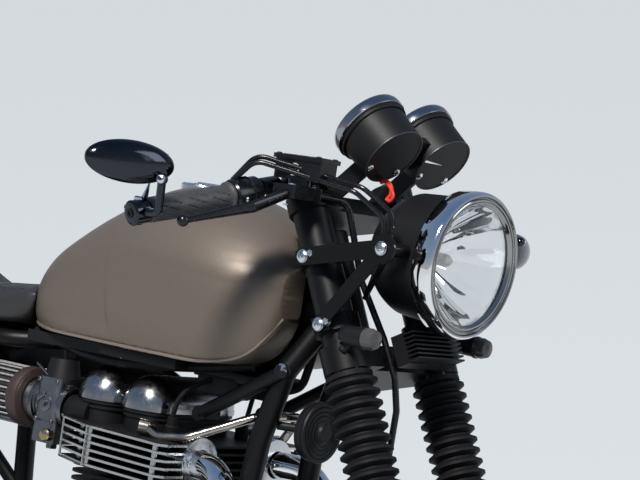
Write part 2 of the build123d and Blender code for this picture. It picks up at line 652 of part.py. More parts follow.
GUARD_GAP = 16.0
GUARD_WALL = 2.0
GUARD_FRONT = 24.0
guard_cos = cos(radians(GUARD_FRONT))
guard_sin = sin(radians(GUARD_FRONT))
with BuildPart() as front_mudguard:
    inner = FRONT_TYRE["outer"] + GUARD_GAP
    half = FRONT_TYRE["half"] + 8
    with BuildSketch(Plane(origin=(WHEELBASE, 0, FRONT_H), x_dir=(0, 1, 0), z_dir=(guard_cos, 0, -guard_sin))):
        with BuildLine():
            ThreePointArc((-half, inner - 34), (0, inner), (half, inner - 34))
            Line((half, inner - 34), (half + GUARD_WALL, inner - 34))
            ThreePointArc((half + GUARD_WALL, inner - 34), (0, inner + GUARD_WALL), (-half - GUARD_WALL, inner - 34))
            Line((-half - GUARD_WALL, inner - 34), (-half, inner - 34))
        make_face()
    revolve(axis=Axis((WHEELBASE, 0, FRONT_H), (0, -1, 0)), revolution_arc=98)
    for left in (-1, 1):
        for lean in (-66, 8):
            tip = Vector((inner - 24) * sin(radians(lean)), 0, (inner - 24) * cos(radians(lean)))
            add(rod((WHEELBASE + tip.X, left * (half + 1), FRONT_H + tip.Z),
                    (on_fork(LEG_X, 0, 470).X, left * (FORK_HALF - SLIDER_R + 2), on_fork(LEG_X, 0, 470).Z), 4))
    add(fork_sliders.part, mode=Mode.SUBTRACT)

with BuildPart() as front_caliper:
    caliper_at = on_fork(LEG_X - 92, -DISC_Y, AXLE_IN_FORK.Z + 92)
    grip_plane = Plane(origin=caliper_at, x_dir=FORK.x_dir, z_dir=(0, -1, 0))
    with BuildSketch(grip_plane):
        with BuildLine():
            Polyline((-34, -46), (22, -52), (30, 30), (4, 52), (-34, 46), close=True)
        make_face()
    extrude(amount=24, both=True)
    fillet(front_caliper.edges().filter_by(Axis.Y), 8)
    with BuildSketch(wheel_side(WHEELBASE, -DISC_Y, FRONT_H)):
        Circle(DISC_R + 5)
    extrude(amount=DISC_WALL / 2 + 2, both=True, mode=Mode.SUBTRACT)
    with BuildSketch(grip_plane.offset(14)):
        with Locations((40, -20), (40, 24)):
            Rectangle(46, 16)
    extrude(amount=8)
    add(fork_sliders.part, mode=Mode.SUBTRACT)

# Throttle cables and brake hose: radius, start of the run, bend radius, then the points it passes
HOSES = [
    (3.4, 24, [(HEAD_REACH - 493, -206, 1013), (HEAD_REACH - 462, -200, 1051), (HEAD_REACH - 388, -152, 1036),
               (HEAD_REACH - 326, -141, 1028), (HEAD_REACH - 288, -118, 1000), (HEAD_REACH - 286, -116, 950),
               (HEAD_REACH - 349, -72, 884)]),
    (3.4, 24, [(HEAD_REACH - 488, -214, 1009), (HEAD_REACH - 458, -206, 1043), (HEAD_REACH - 385, -160, 1029),
               (HEAD_REACH - 330, -150, 1021), (HEAD_REACH - 296, -124, 992), (HEAD_REACH - 294, -120, 945),
               (HEAD_REACH - 342, -80, 886)]),
    (4.5, 20, [(HEAD_REACH - 422, -122, 1009), (HEAD_REACH - 401, -72, 1006), on_fork(84, -62, 975),
               on_fork(89, -49, 890), on_fork(90, -47, 835), on_fork(80, -47, 793), on_fork(52, -49, 738),
               on_fork(6, -62, 690), on_fork(-12, -106, 610), on_fork(-38, -108, 480), on_fork(-37, -90, 430)]),
]
with BuildPart() as control_cables:
    for radius, bend, points in HOSES:
        add(bent(points, radius, [bend] * (len(points) - 2)))
    for other in (bar_controls, front_caliper, headlight_brackets, fork_yokes):
        add(other.part, mode=Mode.SUBTRACT)


# Fuel tank, cap and seat. Columns: x, half width, base z, widest z, top z, side radius
TANK_SECTIONS = [
    (622, 58, 770, 796, 818, 18),
    (640, 84, 763, 806, 846, 32),
    (664, 101, 760, 822, 882, 46),
    (705, 117, 758, 842, 919, 56),
    (775, 129, 758, 866, 963, 63),
    (840, 134, 758, 881, 993, 66),
    (930, 136, 758, 884, 1000, 66),
    (1010, 130, 760, 878, 983, 62),
    (1070, 110, 780, 872, 948, 50),
    (1104, 80, 834, 876, 914, 30),
]
TUNNEL_HALF = 36.0
CAP_AT = (865.0, 0.0, 1000.0)
CAP_R = 36.0
CAP_SUNK = 16.0
with BuildPart() as fuel_tank:
    add(rounded_hull(TANK_SECTIONS))
    with BuildSketch(Plane.XZ):
        with BuildLine():
            Polyline((1190, 740), (1190, 905), (1060, 895), (640, 815), (540, 780), (540, 740), close=True)
        make_face()
    extrude(amount=TUNNEL_HALF, both=True, mode=Mode.SUBTRACT)
    with BuildSketch(FORK.offset(LOWER_YOKE)):
        Circle(HEAD_R + 12)
    extrude(amount=UPPER_YOKE - LOWER_YOKE, mode=Mode.SUBTRACT)
    with BuildSketch(Plane.XY.offset(CAP_AT[2] - CAP_SUNK - FIT)):
        with Locations((CAP_AT[0], 0)):
            Circle(CAP_R + FIT)
    extrude(amount=60, mode=Mode.SUBTRACT)

with BuildPart() as filler_cap:
    with BuildSketch(Plane.XY.offset(CAP_AT[2] - CAP_SUNK)):
        with Locations((CAP_AT[0], 0)):
            Circle(CAP_R)
    extrude(amount=15)
    with BuildSketch(Plane.XY.offset(CAP_AT[2] - 1)):
        with Locations((CAP_AT[0], 0)):
            Circle(CAP_R - 6)
    extrude(amount=3)
    with BuildSketch(Plane.XY.offset(CAP_AT[2] + 2)):
        with Locations((CAP_AT[0] + 4, 0)):
            Rectangle(34, 9)
    extrude(amount=3)

SEAT_SECTIONS = [
    (664, 99, 798, 811, 828, 12),
    (640, 104, 774, 798, 825, 18),
    (600, 108, 758, 785, 819, 24),
    (560, 110, 756, 782, 814, 24),
    (480, 113, 754, 778, 806, 22),
    (400, 116, 754, 778, 806, 22),
    (350, 116, 756, 790, 836, 30),
    (250, 112, 758, 800, 872, 40),
    (120, 100, 760, 805, 886, 46),
    (0, 84, 764, 805, 876, 44),
    (-100, 62, 772, 805, 850, 30),
    (-150, 34, 785, 802, 822, 14),
]
with BuildPart() as seat:
    add(rounded_hull(SEAT_SECTIONS))
    grown = [(x, half + 1.5, base - 1.5, wide, top + 1.5, side + 1.5) for x, half, base, wide, top, side in TANK_SECTIONS]
    rear_face = grown[0]
    grown = [(rear_face[0] - 1.5,) + rear_face[1:]] + grown[1:]
    add(rounded_hull(grown), mode=Mode.SUBTRACT)

# Side stand pivot on the left lower rail
STAND_PIVOT = Vector(600, 138, 186)
STAND_HUB = 10.0
stand_along = Vector(0.25, 0.45, -0.857).normalized()
stand_axis = Vector(0, -stand_along.Z, stand_along.Y).normalized()

# Frame: head tube and spine, cradle rails with the rear posts, and the seat loop
SPINE = [(HEAD_REACH - 445, 0, 862), (HEAD_REACH - 587, 0, 838), (690, 0, 768), (580, 0, 722)]
with BuildPart() as frame_spine:
    with BuildSketch(FORK.offset(LOWER_YOKE + LOWER_YOKE_DEEP + 6)):
        Circle(HEAD_R)
    extrude(amount=UPPER_YOKE - 6 - LOWER_YOKE - LOWER_YOKE_DEEP - 6)
    add(bent(SPINE, SPINE_R, [300, 200]))
    add(slab(Plane.XZ, [(HEAD_REACH - 437, 800), (HEAD_REACH - 469, 880), (HEAD_REACH - 597, 825), (HEAD_REACH - 507, 790)], 8))
    with BuildSketch(FORK.offset(LOWER_YOKE)):
        Circle(STEM_R + FIT)
    extrude(amount=UPPER_YOKE - LOWER_YOKE, mode=Mode.SUBTRACT)

RAIL_Y = 95.0
POST_Y = 108.0
PLATE_WALL = 14.0
PIVOT_HALF = POST_Y - RAIL_R - 0.5
RAIL = [(HEAD_REACH - 437, 18, 858), (HEAD_REACH - 475, RAIL_HALF, 765), (HEAD_REACH - 502, RAIL_HALF, 667),
        (HEAD_REACH - 539, 80, 206), (600, RAIL_Y, 206),
        (488, POST_Y, 330), (452, POST_Y, 724)]
with BuildPart() as cradle_rails:
    add(bent(RAIL, RAIL_R, [45, 90, 80, 80, 80]))
    with BuildSketch(Plane.XZ.offset(-POST_Y)):
        with Locations((PIVOT[0] - 4, PIVOT[2])):
            Circle(34)
    extrude(amount=PLATE_WALL / 2, both=True)
    mirror(about=Plane.XZ)
    add(rod((STAND_PIVOT.X, RAIL_Y, 204), STAND_PIVOT - stand_axis * 22, 12))
    add(rod(STAND_PIVOT - stand_axis * 30, STAND_PIVOT - stand_axis * (STAND_HUB + FIT), 15))
    for left in (-1, 1):
        add(rod((PIVOT[0], left * (PIVOT_HALF + FIT), PIVOT[2]), (PIVOT[0], left * POST_Y, PIVOT[2]), 22))
    add(rod((HEAD_REACH - 535, -78, 250), (HEAD_REACH - 535, 78, 250), 12))
    add(rod((640, -RAIL_Y, 206), (640, RAIL_Y, 206), 12))
    for left in (-1, 1):
        add(rod((HEAD_REACH - 461, left * 78, 768), (988, left * 78, 687), 10))
        add(rod((HEAD_REACH - 483, left * 54, 764), (HEAD_REACH - 461, left * 84, 768), 11))
        add(rod((988, left * 86, 687), (988, left * 50, 687), 11))
    with BuildSketch(FORK.offset(LOWER_YOKE)):
        Circle(HEAD_R)
    extrude(amount=UPPER_YOKE - LOWER_YOKE, mode=Mode.SUBTRACT)
    add(frame_spine.part, mode=Mode.SUBTRACT)

SHOCK_TOP = (176.0, 140.0, 694.0)
SHOCK_FOOT = (44.0, 140.0, 352.0)
LOOP = [(690, 22, 744), (600, 96, 734), (-80, 100, 734), (-140, 46, 740), (-140, -46, 740), (-80, -100, 734),
        (600, -96, 734), (690, -22, 744)]
with BuildPart() as seat_rails:
    add(bent(LOOP, 12.5, [60, 60, 50, 50, 60, 60]))
    for left in (-1, 1):
        add(rod((SHOCK_TOP[0], left * 98, 732), (SHOCK_TOP[0], left * 106, SHOCK_TOP[2]), 12))
        add(rod((SHOCK_TOP[0], left * 98, SHOCK_TOP[2]), (SHOCK_TOP[0], left * 160, SHOCK_TOP[2]), 9))
        add(rod((SHOCK_TOP[0], left * 100, SHOCK_TOP[2]), (474, left * 100, 480), 11))
    add(rod((330, -98, 734), (330, 98, 734), 10))
    add(cradle_rails.part, mode=Mode.SUBTRACT)
    add(frame_spine.part, mode=Mode.SUBTRACT)

ARM_R = 17.0
ARM_HALF = 106.0
ARM = [(PIVOT[0], 56, PIVOT[2]), (400, 62, 382), (290, 90, 365), (140, ARM_HALF, 343), (-34, ARM_HALF, 318)]
with BuildPart() as swingarm:
    add(bent(ARM, ARM_R, [120, 120, 120]))
    add(slab(Plane.XZ.offset(-ARM_HALF), [(44, 352), (-62, 338), (-62, 300), (44, 312)], 12))
    add(rod((SHOCK_FOOT[0], ARM_HALF, 344), (SHOCK_FOOT[0], ARM_HALF + 12, 352), 12))
    add(rod((SHOCK_FOOT[0], ARM_HALF + 4, 352), (SHOCK_FOOT[0], 158, 352), 8))
    mirror(about=Plane.XZ)
    add(rod((PIVOT[0], -PIVOT_HALF, PIVOT[2]), (PIVOT[0], PIVOT_HALF, PIVOT[2]), 20))
    add(rod((0, -ARM_HALF - 26, REAR_H), (0, ARM_HALF + 26, REAR_H), AXLE_R))

SPRING_R = 28.0
with BuildPart() as rear_shocks:
    eye = Vector(SHOCK_FOOT)
    reach = (Vector(SHOCK_TOP) - eye).length
    add(turned_on(SHOCK_FOOT, SHOCK_TOP, [
        (10, 0), (10, 14), (34, 16), (36, 30), (42, 30), (42, 17), (180, 17), (184, 6), (reach - 60, 6),
        (reach - 58, 30), (reach - 50, 30), (reach - 48, 18), (reach - 10, 14), (reach - 10, 0),
    ]))
    for place in (SHOCK_FOOT, SHOCK_TOP):
        with BuildSketch(Plane.XZ.offset(-place[1])):
            with Locations((place[0], place[2])):
                Circle(17)
        extrude(amount=12, both=True)
    for place, bore in ((SHOCK_FOOT, 8), (SHOCK_TOP, 9)):
        with BuildSketch(Plane.XZ.offset(-place[1])):
            with Locations((place[0], place[2])):
                Circle(bore + FIT)
        extrude(amount=14, both=True, mode=Mode.SUBTRACT)
    mirror(about=Plane.XZ)

WIRE_R = 4.5
COILS = 10
with BuildPart() as shock_springs:
    shock_along = (Vector(SHOCK_TOP) - eye).normalized()
    rise = reach - 60 - 42 - 2 * FIT - 2 * WIRE_R
    with BuildPart(mode=Mode.PRIVATE) as coil:
        with BuildLine() as wire:
            Helix(rise / COILS, rise, SPRING_R - WIRE_R)
        with BuildSketch(Plane(origin=wire.line @ 0, z_dir=wire.line % 0)):
            Circle(WIRE_R)
        sweep(path=wire.line, is_frenet=True)
    foot = Plane(origin=eye + shock_along * (42 + FIT + WIRE_R), z_dir=shock_along)
    add(coil.part.moved(foot.location))
    mirror(about=Plane.XZ)

# Engine
front_r = CHAIN_PITCH / (2 * sin(pi / FRONT_TEETH))
CASE = [(1000, 250), (1000, 400), (965, BARREL_BOTTOM), (640, BARREL_BOTTOM), (552, 452), (536, 330), (600, 262),
        (700, 232), (960, 232)]
with BuildPart() as crankcase:
    add(slab(Plane.XZ, CASE, 2 * CASE_HALF, 18))
    with BuildSketch(Plane.XZ.offset(-CHAIN_Y + CHAIN_HALF + 4)):
        with Locations((SPROCKET_AT[0] - 30, SPROCKET_AT[1] + 10)):
            Rectangle(170, 190)
    extrude(amount=-60, mode=Mode.SUBTRACT)
    with BuildSketch(Plane.XZ.offset(-CHAIN_Y)):
        with Locations(SPROCKET_AT):
            Circle(front_r - 6)
    extrude(amount=3.5, both=True)
    add(rod((SPROCKET_AT[0], 60, SPROCKET_AT[1]), (SPROCKET_AT[0], CHAIN_Y + 12, SPROCKET_AT[1]), 13))

COVER_DEEP = 46.0
with BuildPart() as engine_covers:
    for left, round_places in ((-1, ((690, 384, 88), (884, 396, 70))), (1, ((880, 396, 84), (650, 384, 74)))):
        with BuildSketch(Plane.XZ.offset(-left * CASE_HALF)):
            for x, z, radius in round_places:
                with Locations((x, z)):
                    Circle(radius)
            make_hull()
        extrude(amount=-left * COVER_DEEP)
    fillet(engine_covers.faces().sort_by(Axis.Y)[-1].edges(), 12)
    fillet(engine_covers.faces().sort_by(Axis.Y)[0].edges(), 12)

BORE_HALF = 58.0
with BuildPart() as cylinder_barrels:
    with BuildSketch(Plane.XY.offset(BARREL_BOTTOM)):
        with Locations((CYLINDER_X, -BORE_HALF), (CYLINDER_X, BORE_HALF)):
            Circle(50)
        with Locations((CYLINDER_X, 0)):
            Rectangle(90, 2 * BORE_HALF)
    extrude(amount=HEAD_BOTTOM - BARREL_BOTTOM)
    fins = int((HEAD_BOTTOM - BARREL_BOTTOM) / FIN_PITCH)
    for number in range(fins):
        with BuildSketch(Plane.XY.offset(HEAD_BOTTOM - (number + 1) * FIN_PITCH + FIN_PITCH - FIN_WALL)):
            with Locations((CYLINDER_X, 0)):
                RectangleRounded(176, 258, 34)
        extrude(amount=FIN_WALL)

CARB_Y = 82.0
CARB_Z = 655.0
PORT_X = 985.0
PORT_Z = 618.0
# Fin outline of the cylinder head, right half, from the rear to the front
HEAD_FIN = [(756, 0), (756, 108), (840, 144), (990, 160), (1000, 150), (1000, 0)]
HEAD_POSTS = [(842, 139), (980, 153)]
INTAKE_X = 741.0
CAM_X = (787.0, 876.0)
CAM_R = 42.0
CAM_HALF = 57.0
CAM_LOW = 681.0
CAM_BASE = CAM_LOW - 7
with BuildPart() as cylinder_head:
    with BuildSketch(Plane.XY.offset(HEAD_BOTTOM)):
        with Locations((CYLINDER_X, 0)):
            RectangleRounded(190, 222, 20)
    extrude(amount=FIN_TOP - HEAD_BOTTOM)
    fins = int((FIN_TOP - HEAD_BOTTOM) / FIN_PITCH) + 1
    for x, left in HEAD_POSTS:
        add(rod((x, -left, HEAD_BOTTOM + 2), (x, -left, FIN_TOP - 1), 4))
        add(rod((x, left, HEAD_BOTTOM + 2), (x, left, FIN_TOP - 1), 4))
    for number in range(fins):
        with BuildSketch(Plane.XY.offset(FIN_TOP - FIN_WALL - number * FIN_PITCH)):
            with BuildLine():
                Polyline(*HEAD_FIN)
                mirror(about=Plane.XZ)
            make_face()
        extrude(amount=FIN_WALL)
    for x in CAM_X:
        for low, high, shrink in ((FIN_TOP, CAM_BASE, 5), (CAM_BASE - 5, CAM_BASE, 1), (CAM_BASE - 12, CAM_BASE - 8, 2)):
            with BuildSketch(Plane.XY.offset(low)):
                with Locations((x, 0)):
                    SlotCenterToCenter(2 * CAM_HALF, 2 * (CAM_R - shrink), rotation=90)
            extrude(amount=high - low)
    with BuildSketch(Plane.XY.offset(FIN_TOP)):
        with Locations(((CAM_X[0] + CAM_X[1]) / 2, 0)):
            Rectangle(60, 110)
    extrude(amount=CAM_BASE - FIN_TOP - 6)
    for left in (-CARB_Y, CARB_Y):
        add(rod((955, left, PORT_Z), (PORT_X, left, PORT_Z), 28))
        add(rod((PORT_X, left, PORT_Z), (PORT_X + 30, left, PORT_Z), 32), mode=Mode.SUBTRACT)
        add(rod((790, left, CARB_Z - 4), (INTAKE_X, left, CARB_Z - 4), 22))

with BuildPart() as cam_covers:
    for x in CAM_X:
        lobe = Plane(origin=(x, 0, CAM_LOW), x_dir=(0, 1, 0), z_dir=(1, 0, 0))
        with BuildSketch(lobe):
            with BuildLine():
                ThreePointArc((-CAM_HALF - CAM_R, 0), (-CAM_HALF - CAM_R * 0.7071, CAM_R * 0.7071), (-CAM_HALF, CAM_R))
                Line((-CAM_HALF, CAM_R), (CAM_HALF, CAM_R))
                ThreePointArc((CAM_HALF, CAM_R), (CAM_HALF + CAM_R * 0.7071, CAM_R * 0.7071), (CAM_HALF + CAM_R, 0))
                Line((CAM_HALF + CAM_R, 0), (-CAM_HALF - CAM_R, 0))
            make_face()
        revolve(axis=Axis(lobe.origin, lobe.x_dir))
    split(bisect_by=Plane.XY.offset(CAM_LOW), keep=Keep.TOP)
    with BuildSketch(Plane.XY.offset(CAM_BASE)):
        with Locations((CAM_X[0], 0), (CAM_X[1], 0)):
            SlotCenterToCenter(2 * CAM_HALF, 2 * CAM_R + 2, rotation=90)
        with Locations(((CAM_X[0] + CAM_X[1]) / 2, 0)):
            Rectangle(60, 100)
    extrude(amount=CAM_LOW - CAM_BASE)

SILENCER_IN = (640.0, 165.0, 258.0)
SILENCER_OUT = (-150.0, 205.0, 330.0)
PIPE_R = 19.0
slope = Vector(SILENCER_IN) - Vector(SILENCER_OUT)
PIPE = [(PORT_X + FIT, CARB_Y, PORT_Z), (PORT_X + 77, 104, PORT_Z), (PORT_X + 135, 122, 470), (PORT_X + 97, 140, 250),
        tuple(Vector(SILENCER_IN) + slope * 0.44), SILENCER_IN]
with BuildPart() as exhaust_pipes:
    add(bent(PIPE, PIPE_R, [55, 90, 60, 90]))
    add(rod((PORT_X + FIT, CARB_Y, PORT_Z), (PORT_X + 9, CARB_Y, PORT_Z), 27))
    mirror(about=Plane.XZ)
    add(cylinder_head.part, mode=Mode.SUBTRACT)

with BuildPart() as silencers:
    length = slope.length
    add(turned_on(SILENCER_IN, SILENCER_OUT, [
        (0, 0), (0, 23), (44, 24), (60, 27), (length - 150, 47), (length - 120, 48), (length - 20, 38),
        (length, 34), (length, 22), (length - 90, 20), (length - 90, 0),
    ]))
    mirror(about=Plane.XZ)

with BuildPart() as carburettors:
    add(rod((690, CARB_Y, CARB_Z), (INTAKE_X - FIT, CARB_Y, CARB_Z), 27))
    with BuildSketch(Plane.XY.offset(CARB_Z - 24)):
        with Locations((715, CARB_Y)):
            RectangleRounded(44, 56, 10)
    extrude(amount=62)
    with BuildSketch(Plane.XY.offset(CARB_Z + 38)):
        with Locations((715, CARB_Y)):
            Circle(27)
    extrude(amount=28, taper=12)
    with BuildSketch(Plane.XY.offset(CARB_Z - 58)):
        with Locations((712, CARB_Y)):
            RectangleRounded(46, 48, 8)
    extrude(amount=36)
    add(rod((668, CARB_Y, CARB_Z), (692, CARB_Y, CARB_Z), 29))
    mirror(about=Plane.XZ)
    add(rod((716, -CARB_Y, CARB_Z + 30), (716, CARB_Y, CARB_Z + 30), 7))
    add(rod((704, -CARB_Y, CARB_Z - 20), (704, CARB_Y, CARB_Z - 20), 6))

with BuildPart() as air_filters:
    add(rod((648, CARB_Y, CARB_Z), (668 - FIT, CARB_Y, CARB_Z), 44))
    pleat_count = 26
    star = []
    for number in range(2 * pleat_count):
        radius = 42 if number % 2 else 36.5
        angle = pi * number / pleat_count
        star.append((radius * cos(angle), radius * sin(angle)))
    with BuildSketch(Plane(origin=(648, CARB_Y, CARB_Z), x_dir=(0, 1, 0), z_dir=(-1, 0, 0))):
        with BuildLine():
            Polyline(*star, close=True)
        make_face()
    extrude(amount=74)
    add(rod((574, CARB_Y, CARB_Z), (564, CARB_Y, CARB_Z), 40))
    mirror(about=Plane.XZ)

with BuildPart() as air_pipes:
    add(bent([(922, 118, 657), (948, 118, 646), (990, 105, 652), (1064, 44, 696), (1072, 0, 698)], 6.5, [18, 30, 26]))
    add(rod((927, 116, 655), (917, 124, 656), 11))
    add(rod((925, 118, 657), (912, 92, 655), 8))
    mirror(about=Plane.XZ)
    add(cylinder_head.part, mode=Mode.SUBTRACT)

with BuildPart() as horn:
    add(turned_on((1136, -20, 690), (1160, -20, 690), [
        (0, 0), (0, 22), (6, 40), (14, 42), (18, 42), (22, 36), (24, 12), (28, 12), (28, 0),
    ]))
    add(rod((1136, -20, 690), (1100, -46, 690), 6))
    add(cradle_rails.part, mode=Mode.SUBTRACT)

with BuildPart() as oil_cooler:
    for number in range(9):
        with BuildSketch(Plane.XY.offset(436 + number * 16)):
            with Locations((1112, 0)):
                Rectangle(34, 148)
        extrude(amount=7)
    with BuildSketch(Plane.XY.offset(436)):
        with Locations((1112, 0)):
            Rectangle(24, 140)
        with Locations((1112, -76), (1112, 76)):
            RectangleRounded(30, 14, 5)
    extrude(amount=135)
    add(rod((1084, -56, 560), (1104, -56, 560), 6))
    add(rod((1084, 56, 560), (1104, 56, 560), 6))
    add(cradle_rails.part, mode=Mode.SUBTRACT)

# Drive
CHAIN_PAIRS = 56
with BuildPart() as drive_chain:
    for grow, mode in ((5.5, Mode.ADD), (-5.5, Mode.SUBTRACT)):
        with BuildSketch(Plane.XZ.offset(-CHAIN_Y)):
            with Locations(SPROCKET_AT):
                Circle(front_r + grow)
            with Locations((0, REAR_H)):
                Circle(sprocket_r + grow)
            make_hull()
        extrude(amount=CHAIN_HALF - 2, both=True, mode=mode)
    with BuildSketch(Plane.XZ.offset(-CHAIN_Y), mode=Mode.PRIVATE) as pitch_line:
        with Locations(SPROCKET_AT):
            Circle(front_r + 0.5)
        with Locations((0, REAR_H)):
            Circle(sprocket_r + 0.5)
        make_hull()
    loop = pitch_line.sketch.faces()[0].outer_wire()
    plates = []
    for number in range(CHAIN_PAIRS):
        place = loop @ (number / CHAIN_PAIRS)
        lead = loop % (number / CHAIN_PAIRS)
        for side in (-1, 1):
            face = Plane(origin=(place.X, CHAIN_Y + side * (CHAIN_HALF - 1.5), place.Z), x_dir=lead, z_dir=(0, 1, 0))
            plates.append(slab(face, [(-13, -3), (-9.5, -6), (9.5, -6), (13, -3), (13, 3), (9.5, 6), (-9.5, 6), (-13, 3)], 3))
    add(plates)

with BuildPart() as rear_caliper:
    with BuildSketch(Plane.XZ.offset(REAR_DISC_Y)):
        with BuildLine():
            Polyline((-118, 410), (-40, 462), (-8, 430), (-88, 372), close=True)
        make_face()
    extrude(amount=21, both=True)
    fillet(rear_caliper.edges().filter_by(Axis.Y), 8)
    with BuildSketch(Plane.XZ.offset(REAR_DISC_Y)):
        with Locations((0, REAR_H)):
            Circle(REAR_DISC_R + 6)
    extrude(amount=DISC_WALL / 2 + 2.5, both=True, mode=Mode.SUBTRACT)
    with BuildSketch(Plane.XZ.offset(REAR_DISC_Y + 9)):
        with BuildLine():
            Polyline((-70, 396), (-30, 420), (16, 330), (-16, 318), close=True)
        make_face()
    extrude(amount=6)
    with BuildSketch(Plane.XZ.offset(REAR_DISC_Y)):
        with Locations((0, REAR_H)):
            Circle(AXLE_R + FIT)
    extrude(amount=30, both=True, mode=Mode.SUBTRACT)
    add(swingarm.part, mode=Mode.SUBTRACT)

# Rear end
with BuildPart() as rear_mudguard:
    inner = REAR_TYRE["outer"] + 46
    half = REAR_TYRE["half"] + 6
    with BuildSketch(Plane(origin=(0, 0, REAR_H), x_dir=(0, 1, 0), z_dir=(cos(radians(-4)), 0, -sin(radians(-4))))):
        with BuildLine():
            ThreePointArc((-half, inner - 30), (0, inner), (half, inner - 30))
            Line((half, inner - 30), (half + 2.5, inner - 30))
            ThreePointArc((half + 2.5, inner - 30), (0, inner + 2.5), (-half - 2.5, inner - 30))
            Line((-half - 2.5, inner - 30), (-half, inner - 30))
        make_face()
    revolve(axis=Axis((0, 0, REAR_H), (0, -1, 0)), revolution_arc=34)
    for left in (-1, 1):
        add(rod((-80, left * 60, 655), (-80, left * 92, 732), 7))
    add(seat_rails.part, mode=Mode.SUBTRACT)

with BuildPart() as tail_lamp:
    add(turned_on((-206, 0, 758), (-240, 0, 758), [(0, 0), (0, 32), (4, 36), (20, 36), (28, 30), (34, 0)]))
    add(rod((-206, 0, 758), (-150, 0, 746), 12))
    add(seat_rails.part, mode=Mode.SUBTRACT)

PLATE_TILT = 15.0
plate_out = Vector(-cos(radians(PLATE_TILT)), 0, sin(radians(PLATE_TILT)))
with BuildPart() as number_plate:
    add(slab(Plane(origin=(-240, 0, 640), x_dir=(0, 1, 0), z_dir=plate_out), [(-90, -62), (90, -62), (90, 62), (-90, 62)],
             2.5, 8))
    add(rod((-238, 0, 660), (-196, 0, 740), 6))
    add(tail_lamp.part, mode=Mode.SUBTRACT)
    add(rear_mudguard.part, mode=Mode.SUBTRACT)

with BuildPart() as indicators_rear:
    add(turned_on((-190, 128, 730), (-245, 128, 730), [(-8, 0), (-6, 8), (4, 13), (44, 14.5), (52, 12), (55, 0)]))
    add(rod((-196, 116, 730), (-118, 80, 740), 6))
    mirror(about=Plane.XZ)
    add(seat_rails.part, mode=Mode.SUBTRACT)

with BuildPart() as footrests:
    add(slab(Plane.XZ.offset(-POST_Y - PLATE_WALL / 2 - 3 - FIT), [(512, 430), (420, 420), (400, 372), (470, 360), (520, 372)], 6, 10))
    add(rod((430, 116, 392), (430, 226, 392), 9))
    add(rod((430, 140, 392), (430, 226, 392), 13))
    add(rod((430, 124, 392), (556, 160, 376), 6))
    add(rod((556, 152, 376), (556, 196, 376), 8))
    mirror(about=Plane.XZ)
    add(cradle_rails.part, mode=Mode.SUBTRACT)

# Battery box under the seat and the electrics tray that runs forward from it under the tank.
# Columns: rear x, front x, half width, base z, top z
BATTERY_BOX = [(277, 432, 78, 640, 727), (420, 560, 84, 690, 722), (550, 700, 46, 696, 741), (640, 700, 92, 738, 754),
               (690, 940, 92, 739, 754)]
with BuildPart() as battery_box:
    for rear, front, half, base, top in BATTERY_BOX:
        with BuildSketch(Plane.XY.offset(base)):
            with Locations(((rear + front) / 2, 0)):
                Rectangle(front - rear, 2 * half)
        extrude(amount=top - base)
    for other in (seat_rails, frame_spine, cradle_rails):
        add(other.part, mode=Mode.SUBTRACT)

# Side stand
ground_rise = tan(radians(LEAN))
PAD_WALL = 6.0
STAND_LENGTH = (STAND_PIVOT.Z - ground_rise * STAND_PIVOT.Y) / (ground_rise * stand_along.Y - stand_along.Z)
pad_at = STAND_PIVOT + stand_along * STAND_LENGTH
ground_normal = Vector(0, -sin(radians(LEAN)), cos(radians(LEAN)))
with BuildPart() as side_stand:
    add(rod(STAND_PIVOT - stand_axis * STAND_HUB, STAND_PIVOT + stand_axis * STAND_HUB, 16))
    add(rod(STAND_PIVOT, pad_at + ground_normal * 4, STAND_HUB - 0.5))
    with BuildSketch(Plane(origin=pad_at, x_dir=(1, 0, 0), z_dir=ground_normal)):
        SlotOverall(52, 40)
    extrude(amount=PAD_WALL)

PIECES = dict(
    front_tyre=front_tyre, rear_tyre=rear_tyre, front_rim=front_rim, rear_rim=rear_rim, front_spokes=front_spokes,
    rear_spokes=rear_spokes, front_disc=front_disc, rear_disc=rear_disc, sprocket=sprocket, fork_tubes=fork_tubes,
    fork_sliders=fork_sliders, fork_gaiters=fork_gaiters, fork_yokes=fork_yokes, headlight_bowl=headlight_bowl,
    headlight_rim=headlight_rim, headlight_lens=headlight_lens, headlight_reflector=headlight_reflector,
    headlight_brackets=headlight_brackets, gauge_cans=gauge_cans, gauge_rims=gauge_rims, handlebars=handlebars,
    grips=grips, bar_controls=bar_controls, control_cables=control_cables, bar_end_mirrors=bar_end_mirrors,
    indicators_front=indicators_front, regulator=regulator, front_mudguard=front_mudguard,
    front_caliper=front_caliper, fuel_tank=fuel_tank, filler_cap=filler_cap, seat=seat, frame_spine=frame_spine,
    cradle_rails=cradle_rails, seat_rails=seat_rails, swingarm=swingarm, rear_shocks=rear_shocks,
    shock_springs=shock_springs, crankcase=crankcase, engine_covers=engine_covers,
    cylinder_barrels=cylinder_barrels, cylinder_head=cylinder_head, cam_covers=cam_covers,
    exhaust_pipes=exhaust_pipes, silencers=silencers, carburettors=carburettors, air_filters=air_filters,
    air_pipes=air_pipes, horn=horn, oil_cooler=oil_cooler, drive_chain=drive_chain, rear_caliper=rear_caliper,
    rear_mudguard=rear_mudguard, tail_lamp=tail_lamp, number_plate=number_plate, indicators_rear=indicators_rear,
    footrests=footrests, battery_box=battery_box, side_stand=side_stand,
)

leaned = Location((0, 0, 0), (-LEAN, 0, 0))
for label, piece in PIECES.items():
    piece.part.label = label
leaning = Compound([piece.part.moved(leaned) for piece in PIECES.values()])
box = leaning.bounding_box()
parked = Location((-(box.min.X + box.max.X) / 2, -(box.min.Y + box.max.Y) / 2, -box.min.Z)) * leaned
for piece in PIECES.values():
    export_step(piece.part.moved(parked), f"parts/{piece.part.label}.step")
print("shift to the row frame:", parked.position, "box", box.size)
